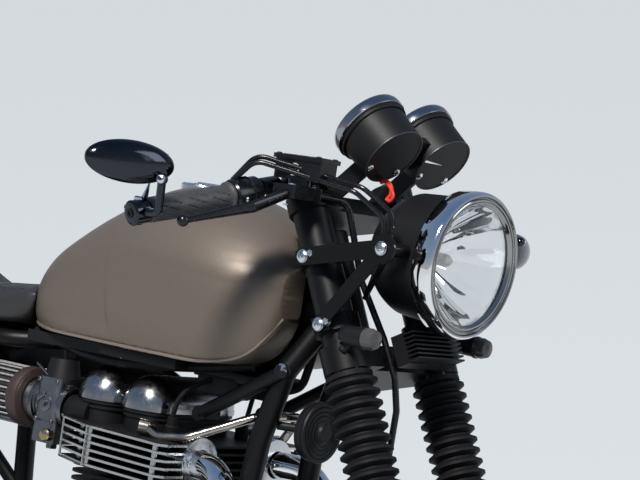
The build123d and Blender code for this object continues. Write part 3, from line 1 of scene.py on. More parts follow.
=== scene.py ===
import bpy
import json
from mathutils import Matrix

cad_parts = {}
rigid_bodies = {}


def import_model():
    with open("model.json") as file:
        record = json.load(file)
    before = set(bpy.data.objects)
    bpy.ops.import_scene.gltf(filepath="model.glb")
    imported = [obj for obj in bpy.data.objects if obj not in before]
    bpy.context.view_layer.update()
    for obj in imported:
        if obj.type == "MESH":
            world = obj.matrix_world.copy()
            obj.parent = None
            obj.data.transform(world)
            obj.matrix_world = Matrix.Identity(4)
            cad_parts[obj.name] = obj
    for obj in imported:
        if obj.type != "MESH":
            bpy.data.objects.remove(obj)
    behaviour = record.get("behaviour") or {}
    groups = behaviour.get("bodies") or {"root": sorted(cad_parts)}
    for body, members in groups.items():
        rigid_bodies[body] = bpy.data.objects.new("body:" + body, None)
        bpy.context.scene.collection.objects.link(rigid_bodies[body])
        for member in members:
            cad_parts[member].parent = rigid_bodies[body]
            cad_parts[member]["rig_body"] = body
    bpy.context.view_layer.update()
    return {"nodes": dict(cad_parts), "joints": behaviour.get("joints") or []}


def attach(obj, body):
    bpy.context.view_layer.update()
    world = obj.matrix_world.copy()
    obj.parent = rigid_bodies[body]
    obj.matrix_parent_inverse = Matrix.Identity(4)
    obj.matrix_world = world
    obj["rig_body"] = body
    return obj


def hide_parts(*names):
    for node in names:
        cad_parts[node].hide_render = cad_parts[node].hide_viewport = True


bl_info = {
    "name": "Cafe racer motorcycle",
    "version": (1, 0, 0),
    "blender": (4, 5, 0),
    "location": "View3D > Sidebar > Motorcycle",
    "description": "Dresses the packed motorcycle with finishes, trim and a plain studio",
    "category": "Object",
}

import json
import math

import bmesh
import bpy
from mathutils import Matrix, Vector
from mathutils.bvhtree import BVHTree

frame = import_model()

# The solids are drawn upright in millimetres; the machine then leans onto its side stand.
LEAN = math.radians(13.0)
WHEELBASE = 1486.0
REAR_RADIUS = 320.0
REAR_HALF = 64.0
REAR_DROP = 42.0


def joint_place(name):
    """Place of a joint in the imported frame, in metres."""
    return Vector(next(joint["pos_m"] for joint in frame["joints"] if joint["name"] == name))


LEANING = Matrix.Rotation(-LEAN, 4, "X")
REAR_CROWN = (REAR_HALF**2 + REAR_DROP**2) / (2 * REAR_DROP)
REAR_UP = REAR_RADIUS - REAR_CROWN + REAR_CROWN / math.cos(LEAN)
REAR_AXLE = Vector((0.0, 0.0, REAR_UP))
PARKED = Matrix.Translation(joint_place("rear_wheel_spin") - LEANING @ (REAR_AXLE * 0.001))
UPRIGHT = PARKED @ LEANING @ Matrix.Scale(0.001, 4)


# Materials
def finish(name, colour, metal=0.0, rough=0.5, **sockets):
    """Material with a shader whose plain values are set on its own sockets."""
    material = bpy.data.materials.new(name)
    material.use_nodes = True
    shader = material.node_tree.nodes["Principled BSDF"]
    shader.inputs["Base Color"].default_value = (*colour, 1)
    shader.inputs["Metallic"].default_value = metal
    shader.inputs["Roughness"].default_value = rough
    for socket, value in sockets.items():
        shader.inputs[socket.replace("_", " ")].default_value = value
    return material


def node_of(material, kind, **values):
    """New node in a material, with input values by name."""
    node = material.node_tree.nodes.new(kind)
    for name, value in values.items():
        node.inputs[name.replace("_", " ")].default_value = value
    return node


def grain(material, scale, bump=0.1, distance=0.0002, rough=(0.4, 0.5), tint=None, stretch=(1, 1, 1),
          detail=4.0):
    """Gives a material noise in its bump and roughness, and a second colour if tint is given."""
    links = material.node_tree.links
    shader = material.node_tree.nodes["Principled BSDF"]
    place = node_of(material, "ShaderNodeTexCoord")
    turn = node_of(material, "ShaderNodeMapping")
    turn.inputs["Scale"].default_value = stretch
    noise = node_of(material, "ShaderNodeTexNoise", Scale=scale, Detail=detail)
    links.new(place.outputs["Object"], turn.inputs["Vector"])
    links.new(turn.outputs["Vector"], noise.inputs["Vector"])
    spread = node_of(material, "ShaderNodeMapRange")
    spread.inputs["From Min"].default_value = 0.35
    spread.inputs["From Max"].default_value = 0.65
    spread.inputs["To Min"].default_value = rough[0]
    spread.inputs["To Max"].default_value = rough[1]
    links.new(noise.outputs["Fac"], spread.inputs["Value"])
    links.new(spread.outputs["Result"], shader.inputs["Roughness"])
    if bump:
        relief = node_of(material, "ShaderNodeBump", Strength=bump, Distance=distance)
        links.new(noise.outputs["Fac"], relief.inputs["Height"])
        links.new(relief.outputs["Normal"], shader.inputs["Normal"])
    if tint:
        coarse = node_of(material, "ShaderNodeTexNoise", Scale=scale * 0.12, Detail=3.0)
        links.new(turn.outputs["Vector"], coarse.inputs["Vector"])
        mix = node_of(material, "ShaderNodeMix")
        mix.data_type = "RGBA"
        mix.inputs["A"].default_value = shader.inputs["Base Color"].default_value
        mix.inputs["B"].default_value = (*tint, 1)
        links.new(coarse.outputs["Fac"], mix.inputs["Factor"])
        links.new(mix.outputs["Result"], shader.inputs["Base Color"])
    return material


def leather_finish():
    """Dark hide with a pebbled grain."""
    material = finish("seat_leather", (0.022, 0.021, 0.021), rough=0.45)
    links = material.node_tree.links
    shader = material.node_tree.nodes["Principled BSDF"]
    place = node_of(material, "ShaderNodeTexCoord")
    cells = node_of(material, "ShaderNodeTexVoronoi", Scale=420.0)
    creases = node_of(material, "ShaderNodeTexNoise", Scale=26.0, Detail=5.0)
    links.new(place.outputs["Object"], cells.inputs["Vector"])
    links.new(place.outputs["Object"], creases.inputs["Vector"])
    fine = node_of(material, "ShaderNodeBump", Strength=0.35, Distance=0.0006)
    broad = node_of(material, "ShaderNodeBump", Strength=0.25, Distance=0.002)
    links.new(cells.outputs["Distance"], fine.inputs["Height"])
    links.new(creases.outputs["Fac"], broad.inputs["Height"])
    links.new(fine.outputs["Normal"], broad.inputs["Normal"])
    links.new(broad.outputs["Normal"], shader.inputs["Normal"])
    spread = node_of(material, "ShaderNodeMapRange")
    spread.inputs["To Min"].default_value = 0.38
    spread.inputs["To Max"].default_value = 0.55
    links.new(creases.outputs["Fac"], spread.inputs["Value"])
    links.new(spread.outputs["Result"], shader.inputs["Roughness"])
    return material


FINISHES = {
    "tank_paint": grain(finish("tank_paint", (0.150, 0.122, 0.098), 0.45, 0.44), 900, 0.05, 0.00005,
                        (0.40, 0.47), (0.165, 0.135, 0.108)),
    # Tank seam: the tank paint made lighter, a painted highlight where the rolled lip catches the light.
    "tank_seam_painted_highlight": grain(finish("tank_seam_painted_highlight", (0.24, 0.20, 0.165), 0.5, 0.34), 900, 0.05, 0.00005, (0.3, 0.38)),
    "chrome": grain(finish("chrome", (0.86, 0.87, 0.88), 1.0, 0.06), 60, 0.0, 0, (0.04, 0.09)),
    "dark_chrome": grain(finish("dark_chrome", (0.045, 0.048, 0.058), 1.0, 0.14), 60, 0.0, 0, (0.1, 0.17)),
    "bezel": grain(finish("bezel", (0.34, 0.35, 0.37), 1.0, 0.12), 60, 0.0, 0, (0.09, 0.15)),
    "warm_chrome": grain(finish("warm_chrome", (0.54, 0.49, 0.43), 1.0, 0.2), 60, 0.0, 0, (0.16, 0.28),
                         (0.40, 0.35, 0.30)),
    "stainless": grain(finish("stainless", (0.62, 0.63, 0.64), 1.0, 0.25), 200, 0.0, 0, (0.2, 0.32)),
    "bright_steel": grain(finish("bright_steel", (0.66, 0.68, 0.71), 1.0, 0.2), 400, 0.05, 0.0001,
                          (0.15, 0.28)),
    "ground_steel": grain(finish("ground_steel", (0.42, 0.42, 0.43), 1.0, 0.3), 300, 0.1, 0.0001,
                          (0.25, 0.4)),
    "chain_steel": grain(finish("chain_steel", (0.22, 0.21, 0.2), 1.0, 0.4), 200, 0.2, 0.0002, (0.35, 0.55)),
    "cast_alloy": grain(finish("cast_alloy", (0.46, 0.46, 0.47), 1.0, 0.4), 500, 0.4, 0.0003, (0.36, 0.5),
                        (0.36, 0.36, 0.36)),
    "fin_edge": grain(finish("fin_edge", (0.62, 0.61, 0.59), 1.0, 0.3), 300, 0.1, 0.0001, (0.24, 0.38)),
    "cam_cover": grain(finish("cam_cover", (0.40, 0.40, 0.41), 1.0, 0.2), 120, 0.08, 0.0002, (0.14, 0.28),
                       (0.30, 0.30, 0.31)),
    "engine_black": grain(finish("engine_black", (0.005, 0.005, 0.006), 0.0, 0.55, Specular_IOR_Level=0.25),
                          700, 0.3, 0.0002, (0.48, 0.62)),
    "frame_black": grain(finish("frame_black", (0.003, 0.003, 0.0035), 0.0, 0.42, Specular_IOR_Level=0.22),
                         500, 0.06, 0.0001, (0.36, 0.48)),
    "satin_black": grain(finish("satin_black", (0.006, 0.006, 0.007), 0.0, 0.5, Specular_IOR_Level=0.25), 800,
                         0.1, 0.0001, (0.44, 0.56)),
    "gloss_black": grain(finish("gloss_black", (0.004, 0.004, 0.005), 0.0, 0.12, Coat_Weight=0.5), 90, 0.0, 0,
                         (0.09, 0.16)),
    "rubber": grain(finish("rubber", (0.005, 0.005, 0.006), 0.0, 0.62, Specular_IOR_Level=0.16), 400, 0.2,
                    0.0002, (0.5, 0.66), (0.010, 0.010, 0.011)),
    "grip_rubber": grain(finish("grip_rubber", (0.030, 0.030, 0.031), 0.0, 0.5), 500, 0.2, 0.0002,
                         (0.42, 0.56), (0.045, 0.045, 0.047)),
    "tyre_rubber": grain(finish("tyre_rubber", (0.018, 0.018, 0.018), 0.0, 0.75), 300, 0.3, 0.0003,
                         (0.65, 0.85), (0.028, 0.027, 0.026)),
    "filter_rubber": grain(finish("filter_rubber", (0.035, 0.020, 0.018), 0.0, 0.55), 300, 0.2, 0.0002,
                           (0.45, 0.6)),
    # Filter gauze: near black, painted shade of the gaps between the pleats; the ridge tubes keep the gauze's
    # grey.
    "gauze_painted_shade": grain(finish("gauze_painted_shade", (0.05, 0.048, 0.048), 0.2, 0.5), 1500, 0.6, 0.0005,
                          (0.45, 0.6)),
    "lever_black": grain(finish("lever_black", (0.004, 0.004, 0.005), 0.0, 0.25, Specular_IOR_Level=0.4), 200,
                         0.0, 0, (0.2, 0.3)),
    "carb_alloy": grain(finish("carb_alloy", (0.20, 0.205, 0.22), 1.0, 0.38), 500, 0.3, 0.0003, (0.32, 0.46),
                        (0.15, 0.15, 0.16)),
    "rim_step": grain(finish("rim_step", (0.34, 0.34, 0.335), 1.0, 0.1), 60, 0.0, 0, (0.07, 0.14)),
    "gauze_ridge": finish("gauze_ridge", (0.42, 0.41, 0.40), 0.4, 0.45),
    "reflector": finish("reflector", (0.80, 0.81, 0.83), 1.0, 0.04),
    "lens_glass": finish("lens_glass", (1.0, 1.0, 1.0), 0.0, 0.0, Transmission_Weight=1.0, IOR=1.35),
    "bulb_glass": finish("bulb_glass", (0.55, 0.53, 0.5), 0.2, 0.15),
    "mirror_glass": finish("mirror_glass", (0.88, 0.9, 0.92), 1.0, 0.02),
    "dial_black": finish("dial_black", (0.012, 0.012, 0.013), 0.0, 0.6),
    "dial_white": finish("dial_white", (0.85, 0.85, 0.83), 0.0, 0.6),
    "needle_red": finish("needle_red", (0.65, 0.05, 0.02), 0.0, 0.5),
    "tag_red": grain(finish("tag_red", (0.60, 0.035, 0.015), 0.0, 0.6), 600, 0.3, 0.0003, (0.55, 0.7)),
    "smoked_lens": finish("smoked_lens", (0.10, 0.095, 0.09), 0.0, 0.1, Transmission_Weight=0.4, IOR=1.45),
    "red_lens": finish("red_lens", (0.35, 0.01, 0.01), 0.0, 0.12, Transmission_Weight=0.35, IOR=1.45),
    "plate_white": grain(finish("plate_white", (0.75, 0.75, 0.74), 0.0, 0.35), 200, 0.05, 0.0001, (0.3, 0.4)),
    "gauge_edge": finish("gauge_edge", (0.035, 0.036, 0.038), 0.0, 0.4),
    "brass": finish("brass", (0.55, 0.43, 0.22), 1.0, 0.3),
    "thread": finish("thread", (0.05, 0.048, 0.045), 0.0, 0.7),
    "seat_leather": leather_finish(),
}

# Finish of every CAD node that keeps its own shape
NODE_FINISH = {
    "front_rim": "chrome", "rear_rim": "chrome",
    "front_spokes": "stainless", "rear_spokes": "stainless", "front_disc": "ground_steel",
    "rear_disc": "ground_steel", "sprocket": "ground_steel", "fork_tubes": "chrome",
    "fork_sliders": "cast_alloy",
    "fork_gaiters": "rubber", "fork_yokes": "frame_black", "headlight_bowl": "satin_black",
    "headlight_lens": "lens_glass",
    "headlight_brackets": "frame_black", "gauge_cans": "satin_black",
    "handlebars": "frame_black", "bar_controls": "lever_black", "control_cables": "lever_black",
    "bar_end_mirrors": "dark_chrome", "indicators_front": "satin_black", "regulator": "satin_black",
    "front_mudguard": "gloss_black", "front_caliper": "cast_alloy",
    "filler_cap": "bright_steel", "frame_spine": "frame_black", "cradle_rails": "frame_black",
    "seat_rails": "frame_black", "swingarm": "frame_black", "rear_shocks": "frame_black",
    "shock_springs": "gloss_black", "crankcase": "engine_black", "engine_covers": "engine_black",
    "cylinder_barrels": "engine_black", "cylinder_head": "engine_black", "cam_covers": "cam_cover",
    "exhaust_pipes": "chrome", "silencers": "satin_black", "carburettors": "carb_alloy",
    "air_filters": "filter_rubber", "air_pipes": "warm_chrome", "horn": "satin_black",
    "oil_cooler": "satin_black",
    "drive_chain": "chain_steel", "rear_caliper": "cast_alloy", "rear_mudguard": "gloss_black",
    "tail_lamp": "satin_black", "number_plate": "plate_white", "indicators_rear": "satin_black",
    "footrests": "cast_alloy", "battery_box": "satin_black", "side_stand": "frame_black",
}
SMOOTH_ANGLE = math.radians(32)


def body_of(node):
    """Body that a CAD node rides on."""
    return frame["nodes"][node]["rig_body"]


def shade(mesh, angle=SMOOTH_ANGLE):
    """Smooth shading, with edges sharper than the angle kept sharp."""
    mesh.shade_smooth()
    mesh.set_sharp_from_angle(angle=angle)


def is_fin_edge(middle, slope):
    """Outer edge of a fin, which is machined bright."""
    return abs(slope.z) < 0.5 and abs(middle.x - 875) + abs(middle.y) > 150 and middle.z < 643.2


def is_pleat(middle, slope):
    """Gauze of an air filter, between its rubber ends, which takes the near-black finish that paints the
    shade between the pleats.
    """
    return 575 < middle.x < 647.5 and abs(slope.x) < 0.5


def is_indicator_lens(middle, slope):
    """Lens of an indicator, at the outer end of its bullet."""
    return middle.x > 1290 or middle.x < -222


def is_carburettor_cap(middle, slope):
    """Black cap of a carburettor."""
    return middle.z > 692


# Second finish of some nodes, and the test in upright millimetres that tells which faces have it
FACE_FINISH = {
    "cylinder_head": ("fin_edge", is_fin_edge),
    "carburettors": ("satin_black", is_carburettor_cap),
    "air_filters": ("gauze_painted_shade", is_pleat),
    "indicators_front": ("smoked_lens", is_indicator_lens),
    "indicators_rear": ("smoked_lens", is_indicator_lens),
}


def dressed_copy(node):
    """Piece with a CAD node's own shape, merged and smoothly shaded."""
    mesh = frame["nodes"][node].data.copy()
    mesh.name = node + "_skin"
    mesh.materials.clear()
    mesh.materials.append(FINISHES[NODE_FINISH[node]])
    bm = bmesh.new()
    bm.from_mesh(mesh)
    bmesh.ops.remove_doubles(bm, verts=bm.verts, dist=1e-6)
    if node in FACE_FINISH:
        look, chosen = FACE_FINISH[node]
        mesh.materials.append(FINISHES[look])
        back = UPRIGHT.inverted()
        turn = LEANING.to_3x3().inverted()
        for face in bm.faces:
            face.material_index = int(chosen(back @ face.calc_center_median(), turn @ face.normal))
    bm.to_mesh(mesh)
    bm.free()
    if "custom_normal" in mesh.attributes:
        mesh.attributes.remove(mesh.attributes["custom_normal"])
    shade(mesh)
    skin = bpy.data.objects.new(node + "_skin", mesh)
    bpy.context.scene.collection.objects.link(skin)
    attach(skin, body_of(node))
    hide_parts(node)
    return skin


# Shapes, all in upright millimetres until a piece is finished
RAKE = math.radians(27.0)
HEAD_REACH = 1587.0
LEG_X = 55.0
FORK_HALF = 98.0


def on_fork(forward, left, up):
    """Point given along the fork's own axes."""
    return Vector((HEAD_REACH + forward * math.cos(RAKE) - up * math.sin(RAKE), left,
                   forward * math.sin(RAKE) + up * math.cos(RAKE)))


FORK_UP = on_fork(0, 0, 1) - on_fork(0, 0, 0)
FORK_AHEAD = on_fork(1, 0, 0) - on_fork(0, 0, 0)
RIGHT = Vector((0, -1, 0))
LEFT = Vector((0, 1, 0))
UP = Vector((0, 0, 1))
AHEAD = Vector((1, 0, 0))


def aim(place, toward, turn=0.0):
    """Matrix that stands a shape on a place with its Z axis along a direction."""
    stand = Vector(toward).to_track_quat("Z", "Y").to_matrix().to_4x4()
    return Matrix.Translation(Vector(place)) @ stand @ Matrix.Rotation(turn, 4, "Z")


def painted(bm, first, look):
    """Gives the faces made since a count the material of that number."""
    bm.faces.ensure_lookup_table()
    for face in bm.faces[first:]:
        face.material_index = look


def lathe(bm, outline, place, steps=48, look=0):
    """Spins an outline of (along, radius) pairs round the Z axis of a place."""
    first = len(bm.faces)
    verts = [bm.verts.new(place @ Vector((radius, 0, along))) for along, radius in outline]
    edges = [bm.edges.new(pair) for pair in zip(verts, verts[1:])]
    bmesh.ops.spin(bm, geom=verts + edges, cent=place.translation, axis=place.to_3x3() @ Vector((0, 0, 1)),
                   angle=2 * math.pi, steps=steps, use_merge=True)
    painted(bm, first, look)


def block(bm, place, sizes, look=0, edge=0.0):
    """Box on a place, with its edges rounded by a bevel."""
    first = len(bm.faces)
    made = bmesh.ops.create_cube(bm, size=1.0, matrix=place @ Matrix.Diagonal((*sizes, 1)))
    if edge:
        edges = list({rim for vert in made["verts"] for rim in vert.link_edges})
        bmesh.ops.bevel(bm, geom=edges, offset=edge, affect="EDGES", segments=2, profile=0.5, material=-1)
    painted(bm, first, look)


def dome_bolt(bm, place, toward, radius, look=0, rise=0.55):
    """Round-headed bolt with a hexagon socket on a thin washer."""
    stand = aim(place, toward)
    lathe(bm, [(0, radius * 1.12), (0.6, radius * 1.12), (0.6, radius), (radius * rise * 0.55, radius * 0.96),
               (radius * rise * 0.9, radius * 0.72), (radius * rise, radius * 0.42)], stand, 20, look)
    first = len(bm.faces)
    top = bmesh.ops.create_circle(bm, segments=6, radius=radius * 0.4, cap_ends=True,
                                  matrix=stand @ Matrix.Translation((0, 0, radius * rise * 0.98)))
    face = top["verts"][0].link_faces[0]
    pushed = bmesh.ops.extrude_discrete_faces(bm, faces=[face])["faces"][0]
    bmesh.ops.translate(bm, verts=pushed.verts, vec=stand.to_3x3() @ Vector((0, 0, -radius * 0.45)))
    painted(bm, first, look)


def hex_bolt(bm, place, toward, radius, rise, look=0, turn=0.3):
    """Hexagon-headed bolt or nut with a washer and chamfered corners."""
    stand = aim(place, toward, turn)
    first = len(bm.faces)
    washer = radius * 1.3
    for sides, low, high, depth, middle in (
            (20, washer, washer, 1.2, 0.6), (6, radius, radius, rise * 0.8, 1.2 + rise * 0.4),
            (6, radius, radius * 0.86, rise * 0.2, 1.2 + rise * 0.9)):
        bmesh.ops.create_cone(bm, cap_ends=True, segments=sides, radius1=low, radius2=high, depth=depth,
                              matrix=stand @ Matrix.Translation((0, 0, middle)))
    painted(bm, first, look)


def tube(bm, points, radius, look=0, sides=8, closed=False):
    """Round bar along a list of points, with its rings bridged."""
    first = len(bm.faces)
    points = [Vector(point) for point in points]
    rings = []
    count = len(points)
    side = None
    for number, point in enumerate(points):
        behind = points[number - 1] if number or closed else point
        ahead = points[(number + 1) % count] if number + 1 < count or closed else point
        run = (ahead - behind).normalized()
        side = run.orthogonal().normalized() if side is None else (side - run * side.dot(run)).normalized()
        wide = radius(number / (count - 1)) if callable(radius) else radius
        stand = Matrix((side, run.cross(side), run)).transposed().to_4x4()
        stand.translation = point
        ring = bmesh.ops.create_circle(bm, segments=sides, radius=wide, matrix=stand)["verts"]
        rings.append(ring)
    for low, high in zip(rings, rings[1:] + (rings[:1] if closed else [])):
        edges = {edge for ring in (low, high) for vert in ring for edge in vert.link_edges
                 if edge.other_vert(vert) in ring}
        bmesh.ops.bridge_loops(bm, edges=list(edges))
    if not closed:
        for ring in (rings[0], rings[-1]):
            bmesh.ops.contextual_create(bm, geom=ring)
    painted(bm, first, look)


def clamped(value):
    """Value held between nought and one."""
    return min(1.0, max(0.0, value))


def smooth_path(points, steps=8):
    """Points on a smooth curve through a list of points."""
    points = [Vector(point) for point in points]
    ends = [points[0] * 2 - points[1], *points, points[-1] * 2 - points[-2]]
    path = []
    for before, start, stop, after in zip(ends, ends[1:], ends[2:], ends[3:]):
        for number in range(steps):
            t = number / steps
            bend = 2 * before - 5 * start + 4 * stop - after
            twist = 3 * start - before - 3 * stop + after
            path.append(0.5 * (2 * start + (stop - before) * t + bend * t**2 + twist * t**3))
    return [*path, points[-1]]


def piece(name, bm, node, looks, angle=SMOOTH_ANGLE, replaced=()):
    """Finished piece that rides with a CAD node: merged, turned outwards and put in its place."""
    bmesh.ops.remove_doubles(bm, verts=bm.verts, dist=1e-3)
    bmesh.ops.recalc_face_normals(bm, faces=bm.faces)
    bmesh.ops.transform(bm, matrix=UPRIGHT, verts=bm.verts)
    mesh = bpy.data.meshes.new(name)
    bm.to_mesh(mesh)
    bm.free()
    for look in looks:
        mesh.materials.append(FINISHES[look])
    shade(mesh, angle)
    made = bpy.data.objects.new(name, mesh)
    bpy.context.scene.collection.objects.link(made)
    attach(made, body_of(node))
    if replaced:
        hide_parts(*replaced)
    return made


def skin_tree(*nodes):
    """Search tree over the shapes of some CAD nodes, in upright millimetres."""
    bm = bmesh.new()
    for node in nodes:
        bm.from_mesh(frame["nodes"][node].data)
    bmesh.ops.transform(bm, matrix=UPRIGHT.inverted(), verts=bm.verts)
    tree = BVHTree.FromBMesh(bm)
    bm.free()
    return tree


def laid_on(tree, points, toward, lift=0.0):
    """Points dropped onto a skin along a direction, raised by a small lift, with the skin's slopes."""
    toward = Vector(toward).normalized()
    found = []
    for point in points:
        place, slope, _, _ = tree.ray_cast(Vector(point) - toward * 400, toward)
        if place is not None:
            slope = slope if slope.dot(toward) < 0 else -slope
            found.append((place + slope * lift, slope))
    return found


# Camera: place and turn found in the upright frame, with the lens for a 36 mm sensor
CAMERA_AT = Vector((3163.804, -2559.729, 996.244))
CAMERA_RIGHT = Vector((0.76722, 0.62444, 0.14644))
CAMERA_UP = Vector((-0.12264, -0.08128, 0.98912))
CAMERA_BACK = Vector((0.62955, -0.77683, 0.01422))
CAMERA_LENS = 133.56
LAMPS_FACE = (0.2, 0, 0.9)


def add_camera():
    """Camera at the photograph's viewpoint."""
    data = bpy.data.cameras.new("photo_view")
    data.sensor_width = 36.0
    data.lens = CAMERA_LENS
    data.clip_start = 0.05
    data.clip_end = 200.0
    camera = bpy.data.objects.new("photo_view", data)
    bpy.context.scene.collection.objects.link(camera)
    turn = LEANING @ Matrix((CAMERA_RIGHT, CAMERA_UP, CAMERA_BACK)).transposed().to_4x4()
    camera.matrix_world = Matrix.Translation(UPRIGHT @ CAMERA_AT) @ turn
    bpy.context.scene.camera = camera


def add_lamp(name, place, target, size, watts, colour):
    """Soft square lamp that faces a target."""
    data = bpy.data.lights.new(name, "AREA")
    data.size = size
    data.energy = watts
    data.color = colour
    lamp = bpy.data.objects.new(name, data)
    lamp.location = place
    lamp.rotation_euler = (Vector(target) - Vector(place)).to_track_quat("-Z", "Y").to_euler()
    bpy.context.scene.collection.objects.link(lamp)


def add_world():
    """Sky that is pale at the horizon and bluer above, with a plain wall colour for the camera."""
    world = bpy.data.worlds.new("studio")
    bpy.context.scene.world = world
    world.use_nodes = True
    nodes, links = world.node_tree.nodes, world.node_tree.links
    nodes.clear()
    out = nodes.new("ShaderNodeOutputWorld")
    place = nodes.new("ShaderNodeTexCoord")
    split = nodes.new("ShaderNodeSeparateXYZ")
    ramp = nodes.new("ShaderNodeValToRGB")
    ramp.color_ramp.elements[0].position = 0.46
    ramp.color_ramp.elements[0].color = (0.22, 0.22, 0.22, 1)
    ramp.color_ramp.elements[1].position = 0.5
    ramp.color_ramp.elements[1].color = (0.75, 0.79, 0.83, 1)
    above = ramp.color_ramp.elements.new(0.62)
    above.color = (0.42, 0.55, 0.75, 1)
    zenith = ramp.color_ramp.elements.new(1.0)
    zenith.color = (0.20, 0.33, 0.60, 1)
    shift = nodes.new("ShaderNodeMath")
    shift.operation = "MULTIPLY_ADD"
    shift.inputs[1].default_value = 0.5
    shift.inputs[2].default_value = 0.5
    sky = nodes.new("ShaderNodeBackground")
    sky.inputs["Strength"].default_value = 0.5
    wall = nodes.new("ShaderNodeBackground")
    wall.inputs["Color"].default_value = (0.70, 0.745, 0.77, 1)
    wall.inputs["Strength"].default_value = 1.0
    ray = nodes.new("ShaderNodeLightPath")
    seen = nodes.new("ShaderNodeMath")
    seen.operation = "MAXIMUM"
    mix = nodes.new("ShaderNodeMixShader")
    links.new(place.outputs["Generated"], split.inputs["Vector"])
    links.new(split.outputs["Z"], shift.inputs[0])
    links.new(shift.outputs["Value"], ramp.inputs["Fac"])
    links.new(ramp.outputs["Color"], sky.inputs["Color"])
    links.new(ray.outputs["Is Camera Ray"], seen.inputs[0])
    links.new(ray.outputs["Is Transmission Ray"], seen.inputs[1])
    links.new(seen.outputs["Value"], mix.inputs["Fac"])
    links.new(sky.outputs["Background"], mix.inputs[1])
    links.new(wall.outputs["Background"], mix.inputs[2])
    links.new(mix.outputs["Shader"], out.inputs["Surface"])


def add_floor():
    """Plain pale floor under the tyres."""
    bm = bmesh.new()
    bmesh.ops.create_grid(bm, x_segments=1, y_segments=1, size=40.0)
    mesh = bpy.data.meshes.new("floor")
    bm.to_mesh(mesh)
    bm.free()
    floor = bpy.data.objects.new("floor", mesh)
    bpy.context.scene.collection.objects.link(floor)
    pale = finish("floor_pale", (0.40, 0.42, 0.43), 0.0, 0.9)
    links = pale.node_tree.links
    glow = node_of(pale, "ShaderNodeEmission", Color=(0.80, 0.84, 0.87, 1), Strength=1.0)
    ray = node_of(pale, "ShaderNodeLightPath")
    seen = node_of(pale, "ShaderNodeMath")
    seen.operation = "MAXIMUM"
    either = node_of(pale, "ShaderNodeMath")
    either.operation = "MAXIMUM"
    share = node_of(pale, "ShaderNodeMath")
    share.operation = "MULTIPLY"
    share.inputs[1].default_value = 0.80
    mix = node_of(pale, "ShaderNodeMixShader")
    links.new(ray.outputs["Is Camera Ray"], seen.inputs[0])
    links.new(ray.outputs["Is Glossy Ray"], seen.inputs[1])
    links.new(seen.outputs["Value"], either.inputs[0])
    links.new(ray.outputs["Is Transmission Ray"], either.inputs[1])
    links.new(either.outputs["Value"], share.inputs[0])
    links.new(share.outputs["Value"], mix.inputs["Fac"])
    links.new(pale.node_tree.nodes["Principled BSDF"].outputs["BSDF"], mix.inputs[1])
    links.new(glow.outputs["Emission"], mix.inputs[2])
    links.new(mix.outputs["Shader"], pale.node_tree.nodes["Material Output"].inputs["Surface"])
    floor.data.materials.append(pale)


class MOTORCYCLE_PG_settings(bpy.types.PropertyGroup):
    """Sizes and powers that a user would change."""
    flute_depth: bpy.props.FloatProperty(
        name="Reflector flutes", description="Depth of the reflector's creases", default=0.0026,
        unit="LENGTH")
    groove_depth: bpy.props.FloatProperty(
        name="Grip grooves", description="Depth of the grooves in the grips", default=0.0013, unit="LENGTH")
    knee_depth: bpy.props.FloatProperty(
        name="Knee edge", description="Depth of the tank's pressed sides", default=0.0026, unit="LENGTH")
    channel_depth: bpy.props.FloatProperty(
        name="Seat channels", description="Depth of the channels sewn across the seat", default=0.0026,
        unit="LENGTH")
    tread_depth: bpy.props.FloatProperty(
        name="Tread", description="Depth of the cuts in the tyres", default=0.003, unit="LENGTH")
    key_power: bpy.props.FloatProperty(
        name="Key light", description="Power of the key lamp", default=620.0, unit="POWER")
    fill_power: bpy.props.FloatProperty(
        name="Fill light", description="Power of the fill lamp", default=60.0, unit="POWER")


MM = 1000.0
LAMP_AT = Vector((1355.4, 0.0, 946.6))
LAMP_OUT = Vector((math.cos(math.radians(2.5)), 0, -math.sin(math.radians(2.5))))
LAMP_BOLT = (181.0, 978.0)
FLUTES = 18
BOWL_RADIUS = 84
BOWL_HOLE = 14
BOWL_DEPTH = 70


def headlamp_rim():
    """Deep bright rim, rolled outside and stepped down to the glass."""
    bm = bmesh.new()
    stand = aim(LAMP_AT, LAMP_OUT)
    lathe(bm, [(-31, 88.5), (-31, 96.2), (-30, 97.2), (-12, 98.9), (-5, 98.8), (-1, 97.4), (0.8, 95.2)],
          stand, 128)
    lathe(bm, [(0.8, 95.2), (0.6, 93.2), (-0.8, 92.0), (-2.6, 91.6), (-2.6, 90.8), (-0.6, 90.2), (0.3, 88.8),
               (-0.2, 87.4), (-2.2, 86.8), (-2.2, 86.0), (-0.8, 85.4), (-0.8, 83.6), (-2.0, 82.6),
               (-3.4, 81.8), (-4.2, 80.4), (-5.2, 80.0), (-5.6, 80.6), (-5.4, 84), (-7, 86), (-24, 88.5),
               (-31, 88.5)], stand, 128, 1)
    dome_bolt(bm, stand @ Vector((0, 0, -20)) + UP * -97.5, UP * -1, 4.0)
    return piece("headlight_rim_rolled", bm, "headlight_rim", ["chrome", "rim_step"], math.radians(40),
                 ("headlight_rim",))


